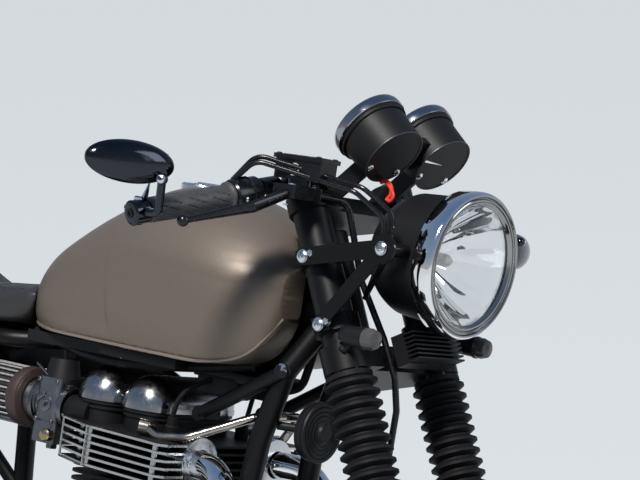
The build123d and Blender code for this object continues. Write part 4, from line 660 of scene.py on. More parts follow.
def headlamp_reflector(flute_depth):
    """Bright bowl with creased flutes, and the bulb's shield on its stem."""
    bm = bmesh.new()
    stand = aim(LAMP_AT, LAMP_OUT)
    bowl = [(-12, 90), (-14, BOWL_RADIUS)]
    steps = 14
    for number in range(1, steps + 1):
        radius = BOWL_RADIUS - BOWL_DEPTH * number / steps
        bowl.append((-84 + BOWL_DEPTH * (radius / BOWL_RADIUS) ** 2, radius))
    lathe(bm, bowl, stand, 8 * FLUTES)
    back = stand.inverted()
    for vert in bm.verts:
        place = back @ vert.co
        radius = math.hypot(place.x, place.y)
        if BOWL_HOLE + 2 < radius < BOWL_RADIUS - 1:
            swell = abs(math.sin(math.atan2(place.y, place.x) * FLUTES / 2))
            zone = abs(math.sin(math.pi * (radius - BOWL_HOLE) / 35))
            vert.co += LAMP_OUT * (flute_depth * swell * radius / BOWL_RADIUS + 1.4 * zone)
    lathe(bm, [(-86, 15), (-78, 15), (-76, 13), (-76, 9)], stand, 32)
    lathe(bm, [(-76, 9), (-50, 9), (-44, 7.5), (-40, 4), (-39, 0)], stand, 32, 1)
    return piece("headlight_reflector_bowl", bm, "headlight_reflector", ["reflector", "bulb_glass"],
                 math.radians(12), ("headlight_reflector",))


def lamp_bracket_bolts():
    """Domed bolts through the lamp brackets, and the bracket clamps' pinch bolts."""
    bm = bmesh.new()
    for side in (-1, 1):
        out = LEFT * side
        for forward, high in ((54, 1013), (54, 918)):
            dome_bolt(bm, on_fork(forward, side * 137.5, high), out, 8.2)
        dome_bolt(bm, on_fork(LAMP_BOLT[0], side * 139.5, LAMP_BOLT[1]), out, 8.6)
        for high in (1002, 907):
            hex_bolt(bm, on_fork(LEG_X + 12, side * 134, high + 11), out, 5, 4)
    return piece("lamp_bracket_bolts", bm, "headlight_brackets", ["bright_steel"])


GAUGE_TILT = math.radians(36.87)
GAUGE_OUT = Vector((-math.cos(GAUGE_TILT), 0, math.sin(GAUGE_TILT)))
GAUGE_RISE = Vector((math.sin(GAUGE_TILT), 0, math.cos(GAUGE_TILT)))
GAUGE_AT = (1186.0, 55.0, 1114.5)
MARKS = 24
SWEEP = 260


def on_dial(middle, degrees, reach, lift):
    """Matrix with its Y axis along a dial's spoke, a reach out and a lift above the dial."""
    angle = math.radians(degrees)
    spoke = GAUGE_RISE * math.cos(angle) + LEFT * -math.sin(angle)
    stand = Matrix((spoke.cross(GAUGE_OUT) * -1, spoke, GAUGE_OUT)).transposed().to_4x4()
    stand.translation = middle + GAUGE_OUT * lift + spoke * reach
    return stand


def gauge_bezels():
    """Thick rolled bezels with grooved collars."""
    bm = bmesh.new()
    for side in (-1, 1):
        stand = aim((GAUGE_AT[0], side * GAUGE_AT[1], GAUGE_AT[2]), GAUGE_OUT)
        lathe(bm, [(-12, 48.4), (-12, 51.2), (-11, 52.2), (-6, 52.6), (-1, 52.4), (2.4, 51.0), (3.8, 48.6),
                   (3.2, 46.2), (0.4, 45.2), (-2.6, 45.0), (-2.6, 46), (-2.7, 48.4), (-12, 48.4)], stand, 96)
        lathe(bm, [(-12, 48.4), (-12, 49.8), (-13.4, 50.2), (-14.2, 49.2), (-15.4, 49.2), (-16.2, 50),
                   (-18, 50), (-19, 49), (-19, 47.6)], stand, 96, 1)
    return piece("gauge_bezels", bm, "gauge_rims", ["bezel", "satin_black"], math.radians(40),
                 ("gauge_rims",))


def gauge_dials():
    """Dark dials with pale marks, hubs and pointers, and a small window in one."""
    bm = bmesh.new()
    for side in (-1, 1):
        middle = Vector((GAUGE_AT[0], side * GAUGE_AT[1], GAUGE_AT[2]))
        stand = aim(middle + GAUGE_OUT * -2.8, GAUGE_OUT)
        lathe(bm, [(0.3, 0), (0.3, 46.5)], stand, 64)
        for number in range(MARKS + 1):
            long, wide = (8, 1.6) if number % 4 == 0 else (4, 0.9)
            mark = on_dial(middle, -SWEEP / 2 + number * SWEEP / MARKS, 42 - long / 2, -2.3)
            block(bm, mark, (wide, long, 0.3), 1)
        block(bm, on_dial(middle, -SWEEP / 2, 14, -1.4), (2.0, 40, 0.5), 2)
        lathe(bm, [(-0.5, 6), (1.2, 6), (2.0, 4), (2.2, 0)], stand @ Matrix.Translation((0, 0, 0.5)), 24)
        turn = Matrix((LEFT, GAUGE_RISE, GAUGE_OUT)).transposed().to_4x4()
        turn.translation = middle + GAUGE_OUT * -2.3 + GAUGE_RISE * -20
        block(bm, turn, (20, 8, 0.4), 3)
    return piece("gauge_dials", bm, "gauge_rims", ["dial_black", "dial_white", "needle_red", "bulb_glass"])


def gauge_trim():
    """Domed screws in the cans' flat bottoms, their dark lower edges and the red tag on the bracket."""
    bm = bmesh.new()
    for side in (-1, 1):
        middle = Vector((GAUGE_AT[0], side * GAUGE_AT[1], GAUGE_AT[2]))
        stand = aim(middle, GAUGE_OUT)
        lathe(bm, [(-65.6, 0), (-65.6, 43.6)], stand, 72, 3)
        lathe(bm, [(-65.6, 43.6), (-66.5, 44.0), (-66.2, 44.9), (-65.4, 45.0)], stand, 72, 1)
        for left in (-29, 29):
            place = middle + GAUGE_OUT * -65.6 + LEFT * left + GAUGE_RISE * -24
            dome_bolt(bm, place, GAUGE_OUT * -1, 4.6)
    for radius, bends in (
            (3.2, [(1212, -40, 1040), (1224, -46, 1042), (1236, -50, 1036), (1240, -51, 1026),
                   (1236, -51, 1019)]),
            (2.2, [(1226, -49, 1040), (1238, -53, 1034), (1246, -54, 1024), (1242, -54, 1016),
                   (1234, -53, 1018)])):
        tube(bm, smooth_path(bends, 6), radius, 2, 8)
    return piece("gauge_trim", bm, "gauge_cans", ["chrome", "gauge_edge", "tag_red", "satin_black"])


BAR_IN = on_fork(LEG_X, 0, 1119)
BAR_ROOT = Vector((BAR_IN.x, -FORK_HALF, BAR_IN.z))
BAR_RUN = (Vector((BAR_IN.x - 50, -372.0, BAR_IN.z - 70)) - BAR_ROOT).normalized()
PERCH_ALONG = 64
GRIP_ALONG = 128
BAR_END_ALONG = 265.3


def mirrored(side, point):
    """Point of the right side, or its partner on the left."""
    return Vector((point.x, -side * point.y, point.z))


def grips(groove_depth):
    """Rubber grips with inner flanges and slanting grooves."""
    bm = bmesh.new()
    for side in (-1, 1):
        run = mirrored(side, BAR_RUN)
        stand = aim(mirrored(side, BAR_ROOT + BAR_RUN * GRIP_ALONG), run)
        first = len(bm.verts)
        profile = [(0, 11.3), (0, 19.2), (1.5, 20.0), (4, 20.0), (5.5, 18.6), (6.5, 17.2)]
        profile += [(6.5 + 2 * number, 16.6 + 0.5 * math.sin(number * 0.055)) for number in range(1, 61)]
        profile += [(131, 16.2), (133.5, 15.0), (134, 11.3)]
        lathe(bm, profile, stand, 96)
        bmesh.ops.remove_doubles(bm, verts=bm.verts, dist=1e-3)
        bm.verts.ensure_lookup_table()
        back = stand.inverted()
        for vert in bm.verts[first:]:
            place = back @ vert.co
            radius = math.hypot(place.x, place.y)
            if 9 < place.z < 128 and radius > 15:
                turn = math.atan2(place.y, place.x)
                line = (turn / (2 * math.pi) * 10 + side * place.z / 26) % 1.0
                sink = groove_depth if line < 0.13 and (place.z + turn * 8) % 40 > 9 else 0.0
                out = Vector((place.x, place.y, 0)).normalized()
                vert.co = stand @ (place - out * sink)
    return piece("grips_grooved", bm, "grips", ["grip_rubber"], math.radians(24), ("grips",))


def bar_end_trim():
    """Slotted ends, clamp bosses and stem bolts of the bar-end mirrors, with the mirror glasses."""
    bm = bmesh.new()
    for side, forward, outward, up in ((-1, 28, 68, 59), (1, 48, 68, 13)):
        clamp = mirrored(side, BAR_ROOT + BAR_RUN * BAR_END_ALONG)
        run = mirrored(side, BAR_RUN)
        lathe(bm, [(22, 0), (22, 6), (22.4, 9), (21.6, 12.4), (20.4, 13.6), (19.4, 16.2)], aim(clamp, run),
              40)
        lathe(bm, [(22.6, 6.2), (23.4, 6.0), (23.4, 3), (22.2, 2.6), (22.2, 0)], aim(clamp, run), 24, 1)
        for turn in (0.6, 2.7, 4.8):
            stand = aim(clamp, run, turn) @ Matrix.Translation((16.1, 0, 14))
            block(bm, stand, (1.2, 5, 13), 1, 0.4)
        block(bm, aim(clamp + run * 8 + UP * 16.5, UP), (15, 11, 6), 0, 1.4)
        middle = clamp + Vector((forward, side * outward, up))
        turn = math.radians(20)
        face = Vector((math.cos(turn), side * math.sin(turn), 0))
        wide = Vector((math.sin(turn), -side * math.cos(turn), 0))
        stand = Matrix((wide, face.cross(wide), face)).transposed().to_4x4()
        stand.translation = middle
        first = len(bm.verts)
        lathe(bm, [(-6.4, 0), (-6.4, 57)], stand, 64, 2)
        lathe(bm, [(-6.2, 57), (-7.2, 58.4), (-6.6, 60.4), (-4, 61.6), (0, 62.2), (0.5, 61.9)], stand, 64)
        bm.verts.ensure_lookup_table()
        bmesh.ops.scale(bm, vec=(1, 27 / 62, 1), space=stand.inverted(), verts=bm.verts[first:])
        ball = stand @ Vector((40, -16, 15))
        dome_bolt(bm, ball + Vector((2, side * 4.5, 0)), Vector((0.35, side, 0)), 5.2, 3)
    return piece("bar_end_trim", bm, "bar_end_mirrors", ["dark_chrome", "satin_black", "mirror_glass",
                                                         "bright_steel"])


def control_details():
    """Switches, pivots, clamp screws and the reservoir's cap screws and gauge glass."""
    bm = bmesh.new()
    for side in (-1, 1):
        run = mirrored(side, BAR_RUN)
        ahead = Vector((0.96, 0, 0.28))
        up = run.cross(ahead) * side
        up = up if up.z > 0 else -up
        for along, high, back in ((92, 20, -8), (104, 21, 4), (114, 20.5, -6)):
            place = mirrored(side, BAR_ROOT + BAR_RUN * along) + up * high + ahead * back
            lathe(bm, [(-2, 5.4), (1.2, 5.4), (2.6, 4.6), (3.0, 0)], aim(place, up), 18, 0)
        block(bm, aim(mirrored(side, BAR_ROOT + BAR_RUN * 100) + up * 20 - ahead * 12, up), (9, 5, 5), 2, 1.2)
        for along in (88, 118):
            place = mirrored(side, BAR_ROOT + BAR_RUN * along) + ahead * 20 - up * 9
            dome_bolt(bm, place, ahead - up * 0.4, 3.6, 1)
        lathe(bm, [(0, 23), (1.2, 23.4), (2.4, 23), (2.4, 21), (0, 21)],
              aim(mirrored(side, BAR_ROOT + BAR_RUN * 99), run), 36)
        perch = mirrored(side, BAR_ROOT + BAR_RUN * PERCH_ALONG) + Vector((38, 0, 3))
        for forward, left, radius in ((10, -8, 6.0), (20, 22, 4.2)):
            dome_bolt(bm, perch + Vector((forward, -side * left, 9)), UP, radius, 1)
        for left in (-16, 16):
            dome_bolt(bm, mirrored(side, BAR_ROOT + BAR_RUN * PERCH_ALONG) + Vector((22, left, -14)), -UP, 4,
                      1)
    perch = BAR_ROOT + BAR_RUN * PERCH_ALONG + Vector((38, 0, 3))
    cap = perch + Vector((12, 12, 33 + 15.3))
    for forward in (-34, 34):
        for left in (-17, 17):
            dome_bolt(bm, cap + Vector((forward, left, -0.4)), UP, 4.0, 0)
    block(bm, Matrix.Translation(cap + Vector((0, 0, 0.2))), (58, 30, 1.4), 0, 0.5)
    lathe(bm, [(0, 8.5), (1.6, 8.5), (1.6, 6.2), (0.9, 5.8), (0.9, 0)],
          aim(cap + Vector((0, -22.2, -19)), RIGHT), 28, 2)
    return piece("control_details", bm, "bar_controls", ["satin_black", "bright_steel", "bulb_glass"])


def tank_skin(knee_depth):
    """Tank with a pressed knee edge on each side."""
    mesh = frame["nodes"]["fuel_tank"].data
    bm = bmesh.new()
    bm.from_mesh(mesh)
    bmesh.ops.remove_doubles(bm, verts=bm.verts, dist=1e-6)
    bmesh.ops.transform(bm, matrix=UPRIGHT.inverted(), verts=bm.verts)
    for across, cuts in ((AHEAD, range(630, 1110, 8)), (UP, range(766, 960, 8))):
        for cut in cuts:
            geom = bm.verts[:] + bm.edges[:] + bm.faces[:]
            bmesh.ops.bisect_plane(bm, geom=geom, plane_co=across * cut, plane_no=across, dist=1e-4)
    for vert in bm.verts:
        if abs(vert.co.y) > 60 and 764 < vert.co.z < 935:
            edge = 812 + (910 - vert.co.z) * 0.13
            behind = clamped((edge - vert.co.x) / 10 + 0.5)
            fade = clamped((vert.co.x - 650) / 90) * clamped((930 - vert.co.z) / 40)
            fade *= clamped((vert.co.z - 772) / 14)
            vert.co.y -= math.copysign(knee_depth, vert.co.y) * (3 * behind**2 - 2 * behind**3) * fade
    return piece("fuel_tank_pressed", bm, "fuel_tank", ["tank_paint"], math.radians(38), ("fuel_tank",))


TANK_HEM = [(640, 84, 763), (664, 101, 760), (705, 117, 758), (775, 129, 758), (840, 134, 758),
            (930, 136, 758), (1010, 130, 760), (1070, 110, 780), (1104, 80, 834)]


def tank_seam_painted_highlight():
    """Folded seam that runs along both lower edges of the tank and up its front, in a lighter paint that is a
    painted highlight on the lip.
    """
    bm = bmesh.new()
    for side in (-1, 1):
        corners = [(x, side * (half * 0.875 + 1.2), base + 2.0) for x, half, base in TANK_HEM]
        tube(bm, smooth_path(corners, 10), 2.4, 0, 8)
    return piece("tank_seam_lip", bm, "fuel_tank", ["tank_seam_painted_highlight"])


def tank_cap_trim():
    """Raised ring, hinge and lock of the filler cap."""
    bm = bmesh.new()
    top = Vector((865, 0, 1000))
    lathe(bm, [(-2, 29), (0.5, 31), (1.2, 33), (0.4, 35.6), (-1.2, 36.2)], Matrix.Translation(top), 64)
    lathe(bm, [(1.6, 0), (2.4, 0), (3.0, 5), (2.6, 6.4), (1.8, 6.6)],
          Matrix.Translation(top + Vector((-16, 0, 0))), 24, 1)
    for turn in range(6):
        angle = turn * math.pi / 3
        dome_bolt(bm, top + Vector((33 * math.cos(angle), 33 * math.sin(angle), 0.9)), UP, 1.8, 1)
    return piece("filler_cap_trim", bm, "filler_cap", ["bright_steel", "chrome"])


RIB_PITCH = 46.0
SEAM_WIDTH = 5.0


def furrow(distance):
    """Share of a seam's depth that is left at a distance from its line."""
    return math.exp(-((distance / SEAM_WIDTH) ** 2))


def seat_pad(channel_depth):
    """Padded seat: the solid's shape remeshed and softened, with sewn channels and an edge seam."""
    source = frame["nodes"]["seat"].data.copy()
    raw = bpy.data.objects.new("seat_raw", source)
    bpy.context.scene.collection.objects.link(raw)
    remesh = raw.modifiers.new("remesh", "REMESH")
    remesh.mode = "VOXEL"
    remesh.voxel_size = 0.006
    made = bpy.data.meshes.new_from_object(raw.evaluated_get(bpy.context.evaluated_depsgraph_get()))
    bpy.data.objects.remove(raw)
    bm = bmesh.new()
    bm.from_mesh(made)
    bmesh.ops.transform(bm, matrix=UPRIGHT.inverted(), verts=bm.verts)
    for _ in range(6):
        bmesh.ops.smooth_vert(bm, verts=bm.verts, factor=0.5, use_axis_x=True, use_axis_y=True,
                              use_axis_z=True)
    bm.normal_update()
    for vert in bm.verts:
        x, y, z = vert.co
        if vert.normal.z > 0.2 and x < 655:
            ribs = 0.0
            if 130 < x < 600:
                phase = (x / RIB_PITCH) % 1.0
                ribs = -channel_depth * furrow(min(phase, 1 - phase) * RIB_PITCH)
                ribs *= clamped((96 - abs(y)) / 12)
            piping = -3.0 * furrow(abs(y) - 92) if 60 < x < 620 else 0.0
            vert.co += vert.normal * (ribs + piping + 1.2)
        elif abs(vert.normal.z) <= 0.6:
            vert.co -= vert.normal * (1.6 * furrow(z - 776))
    bmesh.ops.smooth_vert(bm, verts=bm.verts, factor=0.3, use_axis_x=True, use_axis_y=True, use_axis_z=True)
    pad = piece("seat_pad", bm, "seat", ["seat_leather"], math.radians(180), ("seat",))
    return pad


def seat_stitches():
    """Rows of stitches beside the sewn edge of the seat."""
    bm = bmesh.new()
    tree = skin_tree("seat")
    for side in (-1, 1):
        for left in (88.0, 96.5):
            points = [(x, side * left, 1000) for x in range(70, 622, 9)]
            spots = laid_on(tree, points, -UP, 0.4)
            for (place, slope), (ahead, _) in zip(spots, spots[1:]):
                run = (ahead - place).normalized()
                stand = Matrix((run, slope.cross(run), slope)).transposed().to_4x4()
                stand.translation = place
                block(bm, stand, (5.5, 1.1, 1.0), 0, 0.3)
    return piece("seat_stitches", bm, "seat", ["thread"])


WHEELS = {
    "front": dict(x=WHEELBASE, up=319.39, outer=318.0, half=49.0, drop=33.0, bead=228.6, well=32.0,
                  blocks=44),
    "rear": dict(x=0.0, up=REAR_UP, outer=REAR_RADIUS, half=REAR_HALF, drop=REAR_DROP, bead=215.9, well=44.0,
                 blocks=40),
}


SPOKES = 36


def tyre(end, tread_depth):
    """Tyre with a grooved crown, slanting sipes, shoulder lines and a bead line."""
    size = WHEELS[end]
    half, outer, drop = size["half"], size["outer"], size["drop"]
    crown = (half**2 + drop**2) / (2 * drop)
    reach = math.asin(min(1.0, half / crown))
    lip = size["bead"] + 15
    wall = (outer - drop + lip) / 2
    outline = []
    for number in range(19):
        angle = -reach + 2 * reach * number / 18
        groove = 3.2 if number in (6, 12) else 0.0
        outline.append((crown * math.sin(angle), outer - crown + crown * math.cos(angle) - groove))
    side = [(half * 0.985, (outer - drop) * 0.75 + wall * 0.25), (half * 0.965, wall),
            (half * 0.93, wall - 10), (half * 0.86, lip + 14), (half * 0.85, lip + 11),
            (size["well"] + 2, lip + 3), (size["well"], lip), (size["well"], size["bead"] + 0.2)]
    outline = [(-along, radius) for along, radius in reversed(side)] + outline + side
    outline.append((-size["well"], size["bead"] + 0.2))
    bm = bmesh.new()
    stand = aim((size["x"], 0, size["up"]), LEFT)
    steps = size["blocks"] * 5
    lathe(bm, outline, stand, steps)
    bmesh.ops.remove_doubles(bm, verts=bm.verts, dist=1e-3)
    back = stand.inverted()
    for vert in bm.verts:
        place = back @ vert.co
        radius = math.hypot(place.x, place.y)
        if radius > outer - drop - 2 and abs(place.z) < half * 0.97:
            step = round(math.atan2(place.y, place.x) / (2 * math.pi) * steps)
            slant = round(abs(place.z) / (half / 3.5))
            deep = abs(place.z) > half * 0.2
            if deep and (step + slant) % 5 == 0:
                out = Vector((place.x, place.y, 0)).normalized()
                vert.co = stand @ (place - out * tread_depth)
    return piece(end + "_tyre_treaded", bm, end + "_tyre", ["tyre_rubber"], math.radians(28),
                 (end + "_tyre",))


def wheel_trim(end):
    """Spoke nipples and rim valve of a wheel."""
    size = WHEELS[end]
    bm = bmesh.new()
    middle = Vector((size["x"], 0, size["up"]))
    for number in range(SPOKES):
        for side in (-1, 1):
            if number % 2 == (side > 0):
                angle = math.radians(number * 360 / SPOKES + side * 5)
                out = Vector((math.cos(angle), 0, math.sin(angle)))
                lathe(bm, [(0, 3.4), (-3, 3.4), (-12, 2.8), (-12, 0)],
                      aim(middle + out * (size["bead"] - 15) + LEFT * side * 9, out), 8)
    out = Vector((math.cos(1.2), 0, math.sin(1.2)))
    lathe(bm, [(-24, 0), (-24, 2.6), (-12, 3.0), (-12, 4.5), (0, 4.5)],
          aim(middle + out * (size["bead"] - 14), out), 12, 1)
    return piece(end + "_wheel_trim", bm, end + "_rim", ["bright_steel", "rubber"])


def disc_bolts():
    """Bolts that hold the front and rear discs and the sprocket."""
    bolts = 6
    for node, end, y, out, radius, size in (
            ("front_disc", "front", -64.5, RIGHT, 56, 6), ("rear_disc", "rear", -86.5, RIGHT, 58, 6),
            ("sprocket", "rear", 83.5, LEFT, 60, 7)):
        bm = bmesh.new()
        wheel = WHEELS[end]
        for number in range(bolts):
            angle = number * 2 * math.pi / bolts + 0.3
            place = Vector((wheel["x"] + radius * math.cos(angle), y, wheel["up"] + radius * math.sin(angle)))
            hex_bolt(bm, place, out, size, 4)
        piece(node + "_bolts", bm, node, ["bright_steel"])


def indicator_trim():
    """Dark rings between the lamps' bodies and lenses."""
    for node, middle, ahead in (("indicators_front", (1256, 126, 835), AHEAD),
                                ("indicators_rear", (-190, 128, 730), -AHEAD)):
        bm = bmesh.new()
        for side in (-1, 1):
            place = Vector((middle[0], side * middle[1], middle[2])) + ahead * 34
            lathe(bm, [(-1.5, 14.0), (-1.2, 15.4), (1.2, 15.4), (1.5, 14.0)], aim(place, ahead), 36)
        piece(node + "_rings", bm, node, ["satin_black"])


def tail_lens():
    """Red lens with moulded rings, on the tail lamp's bowl."""
    bm = bmesh.new()
    outline = [(19, 36.4), (21, 36.8), (23, 36), (28, 31), (29.2, 27), (28.8, 25), (30.8, 23), (30.4, 20),
               (32.2, 17), (31.8, 14), (33.4, 10), (34.2, 0)]
    lathe(bm, outline, aim((-206, 0, 758), -AHEAD), 56)
    return piece("tail_lens", bm, "tail_lamp", ["red_lens"])


def plate_trim():
    """Raised edge and screws of the blank plate."""
    bm = bmesh.new()
    tilt = math.radians(15)
    out = Vector((-math.cos(tilt), 0, math.sin(tilt)))
    rise = Vector((math.sin(tilt), 0, math.cos(tilt)))
    middle = Vector((-240, 0, 640)) + out * 2.6
    corners = []
    for wide, high, start in ((82, 54, 0), (-82, 54, 90), (-82, -54, 180), (82, -54, 270)):
        for number in range(5):
            angle = math.radians(start + number * 22.5)
            corners.append(middle + LEFT * (wide + 6 * math.cos(angle)) + rise * (high + 6 * math.sin(angle)))
    tube(bm, corners, 1.1, 0, 6, closed=True)
    for left in (-60, 60):
        dome_bolt(bm, middle + LEFT * left + rise * 44, out, 4, 1)
    return piece("number_plate_trim", bm, "number_plate", ["satin_black", "bright_steel"])


CYLINDER_OUT = 82
CARBURETTOR_UP = 652
FILTER_UP = 655
PLEATS = 26
SILENCER_FRONT = Vector((640, 165, 258))
SILENCER_BACK = Vector((-150, 205, 330))
CHAIN_PITCH = 15.875
REAR_TEETH = 48
FRONT_TEETH = 18


def engine_bolts():
    """Screws, raised round caps and filler plugs of the side covers."""
    bm = bmesh.new()
    for side, places in ((-1, ((690, 384, 88), (884, 396, 70))), (1, ((650, 384, 74), (880, 396, 84)))):
        out = LEFT * side
        (x0, z0, r0), (x1, z1, r1) = places
        for number in range(12):
            angle = number * 2 * math.pi / 12 + 0.2
            rear = math.cos(angle) < 0
            x, z, radius = (x0, z0, r0) if rear else (x1, z1, r1)
            place = Vector((x + (radius - 15) * math.cos(angle), side * 164,
                            z + (radius - 15) * math.sin(angle)))
            dome_bolt(bm, place, out, 5)
        for x, z, radius in places:
            lathe(bm, [(0, radius * 0.62), (2.5, radius * 0.6), (3, radius * 0.5), (1.4, radius * 0.46),
                       (1.4, 0)], aim((x, side * 163.6, z), out), 56, 1)
        lathe(bm, [(0, 13), (5, 13), (6, 11), (6, 0)], aim((x1 - 95, side * 163, z1 + 34), out), 24)
    return piece("engine_cover_screws", bm, "engine_covers", ["bright_steel", "engine_black"])


def head_trim():
    """Bright frames round the head's corner fins, spark plug caps and leads, and cover bolts."""
    bm = bmesh.new()
    for side in (-1, 1):
        corners = [(x, side * y, z) for x, y, z in ((757, 109, 586), (839, 145, 586), (839, 145, 642),
                                                    (757, 109, 642))]
        tube(bm, corners, 2.0, 0, 6, closed=True)
        for x in (787, 876):
            dome_bolt(bm, (x, side * 60, 719.5), UP, 5, 1)
        tube(bm,
             smooth_path([(935, side * 76, 646), (938, side * 80, 676), (950, side * 74, 712),
                          (985, side * 40, 742), (1010, side * 22, 768)], 8), 3.6, 2, 8)
        lathe(bm, [(0, 10), (16, 10), (18, 8), (30, 7), (32, 0)],
              aim((935, side * 76, 643), (0.05, 0.05 * side, 1)), 20, 2)
    return piece("head_trim", bm, "cylinder_head", ["fin_edge", "bright_steel", "rubber"])


def carburettor_trim():
    """Screws, arms, top clips, float bowl bolts, intake clamps and vent hoses of the carburettors."""
    bm = bmesh.new()
    for side in (-1, 1):
        y = side * CYLINDER_OUT
        out = LEFT * side
        for x, z in ((697, 692), (733, 692), (699, 634), (731, 634)):
            dome_bolt(bm, (x, y + side * 28.2, z - 4), out, 3.4)
        lathe(bm, [(0, 12), (2.5, 12), (3.5, 9), (3.5, 5), (8, 5), (8, 0)],
              aim((715, y + side * 27, 655), out), 24)
        block(bm, aim((707, y + side * 31, 664), out, 0.6), (16, 8, 3), 0, 1)
        block(bm, Matrix.Translation((703, y + side * 24, 699)) @ Matrix.Rotation(0.5, 4, "Y"), (44, 4, 3), 0,
              0.8)
        hex_bolt(bm, (712, y, 597), -UP, 9, 8)
        lathe(bm, [(0, 9.5), (10, 9.5), (12, 8), (12, 0)], aim((728, y + side * 24, 610), out), 20, 1)
        for x, radius in ((744.5, 30.5), (684, 31)):
            lathe(bm, [(-4, radius - 1), (-4, radius), (4, radius), (4, radius - 1)],
                  aim((x, y, CARBURETTOR_UP), AHEAD), 40)
        block(bm, aim((744.5, y + side * 12, CARBURETTOR_UP + 31), UP), (8, 13, 6), 0, 1)
        tube(bm, smooth_path([(715, y, 718), (718, y, 744), (745, y * 0.8, 752), (800, y * 0.5, 750)], 8),
             3.2, 2, 8)
    return piece("carburettor_trim", bm, "carburettors", ["carb_alloy", "brass", "rubber"])


def filter_trim():
    """Rounded rubber ends, gauze ridges and hose clamps of the air filters."""
    bm = bmesh.new()
    for side in (-1, 1):
        y = side * CYLINDER_OUT
        along = Matrix.Translation((0, y, FILTER_UP)) @ Matrix.Rotation(math.pi / 2, 4, "Y")
        lathe(bm, [(574, 43), (566, 43.4), (563, 41), (562, 34), (565, 30), (566, 0)], along, 48)
        lathe(bm, [(646, 43.4), (652, 45), (664, 44.6), (668.2, 42), (669, 33)], along, 48)
        for number in range(PLEATS):
            angle = 2 * math.pi * number / PLEATS
            reach = Vector((0, 42.2 * math.cos(angle), 42.2 * math.sin(angle)))
            # Ridges in the gauze's own grey, standing against the painted shade of the dark gauze between
            # them.
            tube(bm, [Vector((573, y, FILTER_UP)) + reach, Vector((648, y, FILTER_UP)) + reach], 1.5, 2, 6)
        lathe(bm, [(672, 30), (672, 30.8), (680, 30.8), (680, 30)], along, 40, 1)
    return piece("air_filter_trim", bm, "air_filters", ["filter_rubber", "bright_steel", "gauze_ridge"])


def exhaust_trim():
    """Finned port collars with studs, and the clamps where the pipes enter the silencers."""
    bm = bmesh.new()
    run = SILENCER_FRONT - SILENCER_BACK
    for side in (-1, 1):
        y = side * CYLINDER_OUT
        port = aim((986, y, 618), AHEAD)
        outline = [(0, 22), (0, 31)]
        for number in range(4):
            outline += [(2 + number * 4, 36), (4 + number * 4, 36), (4.6 + number * 4, 31)]
        outline += [(18, 24), (18, 20)]
        lathe(bm, outline, port, 40)
        for left in (-27, 27):
            hex_bolt(bm, (1003, y + left, 618), AHEAD, 5.5, 6, 0)
        joint = mirrored(-side, SILENCER_FRONT)
        toward = mirrored(-side, run).normalized()
        lathe(bm, [(-16, 24.6), (-16, 26), (-4, 26), (-4, 24.6)], aim(joint, toward), 40)
        block(bm, aim(joint - toward * 10 + Vector((0, side * -6, -28)), UP), (12, 10, 9), 0, 1)
    return piece("exhaust_trim", bm, "exhaust_pipes", ["stainless"])


def silencer_trim():
    """Bright end rings and dark bores of the silencers."""
    bm = bmesh.new()
    for side in (-1, 1):
        out_end = mirrored(-side, SILENCER_BACK)
        toward = (out_end - mirrored(-side, SILENCER_FRONT)).normalized()
        lathe(bm, [(-22, 38.6), (-20, 39.2), (-2, 35), (0.6, 33), (0.8, 26), (-1, 23), (-30, 22)],
              aim(out_end, toward), 56)
        lathe(bm, [(-30, 22), (-30, 0)], aim(out_end, toward), 40, 1)
    return piece("silencer_trim", bm, "silencers", ["stainless", "engine_black"])


def chain_pins():
    """Pins along the two straight runs of the drive chain."""
    bm = bmesh.new()
    rear_r, front_r = (CHAIN_PITCH / (2 * math.sin(math.pi / teeth)) for teeth in (REAR_TEETH, FRONT_TEETH))
    front, rear = Vector((612, 0, 384)), Vector((0, 0, WHEELS["rear"]["up"]))
    span = front - rear
    lean = math.asin((rear_r - front_r) / span.length)
    base = math.atan2(span.z, span.x)
    corners = []
    for sign in (1, -1):
        angle = base + sign * (math.pi / 2 - lean)
        out = Vector((math.cos(angle), 0, math.sin(angle)))
        corners.append((rear + out * rear_r, front + out * front_r))
    count = int((corners[0][1] - corners[0][0]).length / CHAIN_PITCH)
    for start, stop in corners:
        for number in range(count + 1):
            place = start.lerp(stop, number / count)
            bmesh.ops.create_cone(bm, cap_ends=True, segments=8, radius1=2.6, radius2=2.6, depth=18.6,
                                  matrix=aim(place + LEFT * 80, LEFT))
    return piece("chain_pins", bm, "drive_chain", ["bright_steel"])


def fork_trim():
    """Chrome fork caps, the stem nut's washer, pinch bolts and gaiter clips."""
    bm = bmesh.new()
    for side in (-1, 1):
        y = side * FORK_HALF
        cap = aim(on_fork(LEG_X, y, 1132), FORK_UP)
        lathe(bm, [(-1, 20.6), (1, 20.6), (2.4, 19), (2.4, 13), (7, 12), (7, 0)], cap, 40)
        for high, out in ((1089, 29), (870, 31)):
            dome_bolt(bm, on_fork(LEG_X - out, y, high), -FORK_AHEAD, 4.5)
        for high, radius in ((846, 30.6), (617, 31.6)):
            lathe(bm, [(-3, radius), (-3, radius + 1), (3, radius + 1), (3, radius)],
                  aim(on_fork(LEG_X, y, high), FORK_UP), 40, 1)
    lathe(bm, [(0, 24), (2, 24), (2, 18)], aim(on_fork(0, 0, 1100), FORK_UP), 40)
    return piece("fork_trim", bm, "fork_yokes", ["bright_steel", "rubber"])


def caliper_trim():
    """Piston caps and mounting bolts of the front caliper."""
    bm = bmesh.new()
    middle = on_fork(LEG_X - 92, -62, 330.4 + 92)
    radius = 13
    for up in (22, -22):
        place = middle + FORK_AHEAD * -4 + FORK_UP * up + RIGHT * 24
        lathe(bm, [(0, radius), (2, radius), (3, radius - 2), (2, radius - 4), (2, 0)], aim(place, RIGHT), 32)
    for up in (-20, 24):
        hex_bolt(bm, middle + FORK_AHEAD * 50 + FORK_UP * up + RIGHT * 22, RIGHT, 7, 6)
    return piece("caliper_trim", bm, "front_caliper", ["bright_steel"])


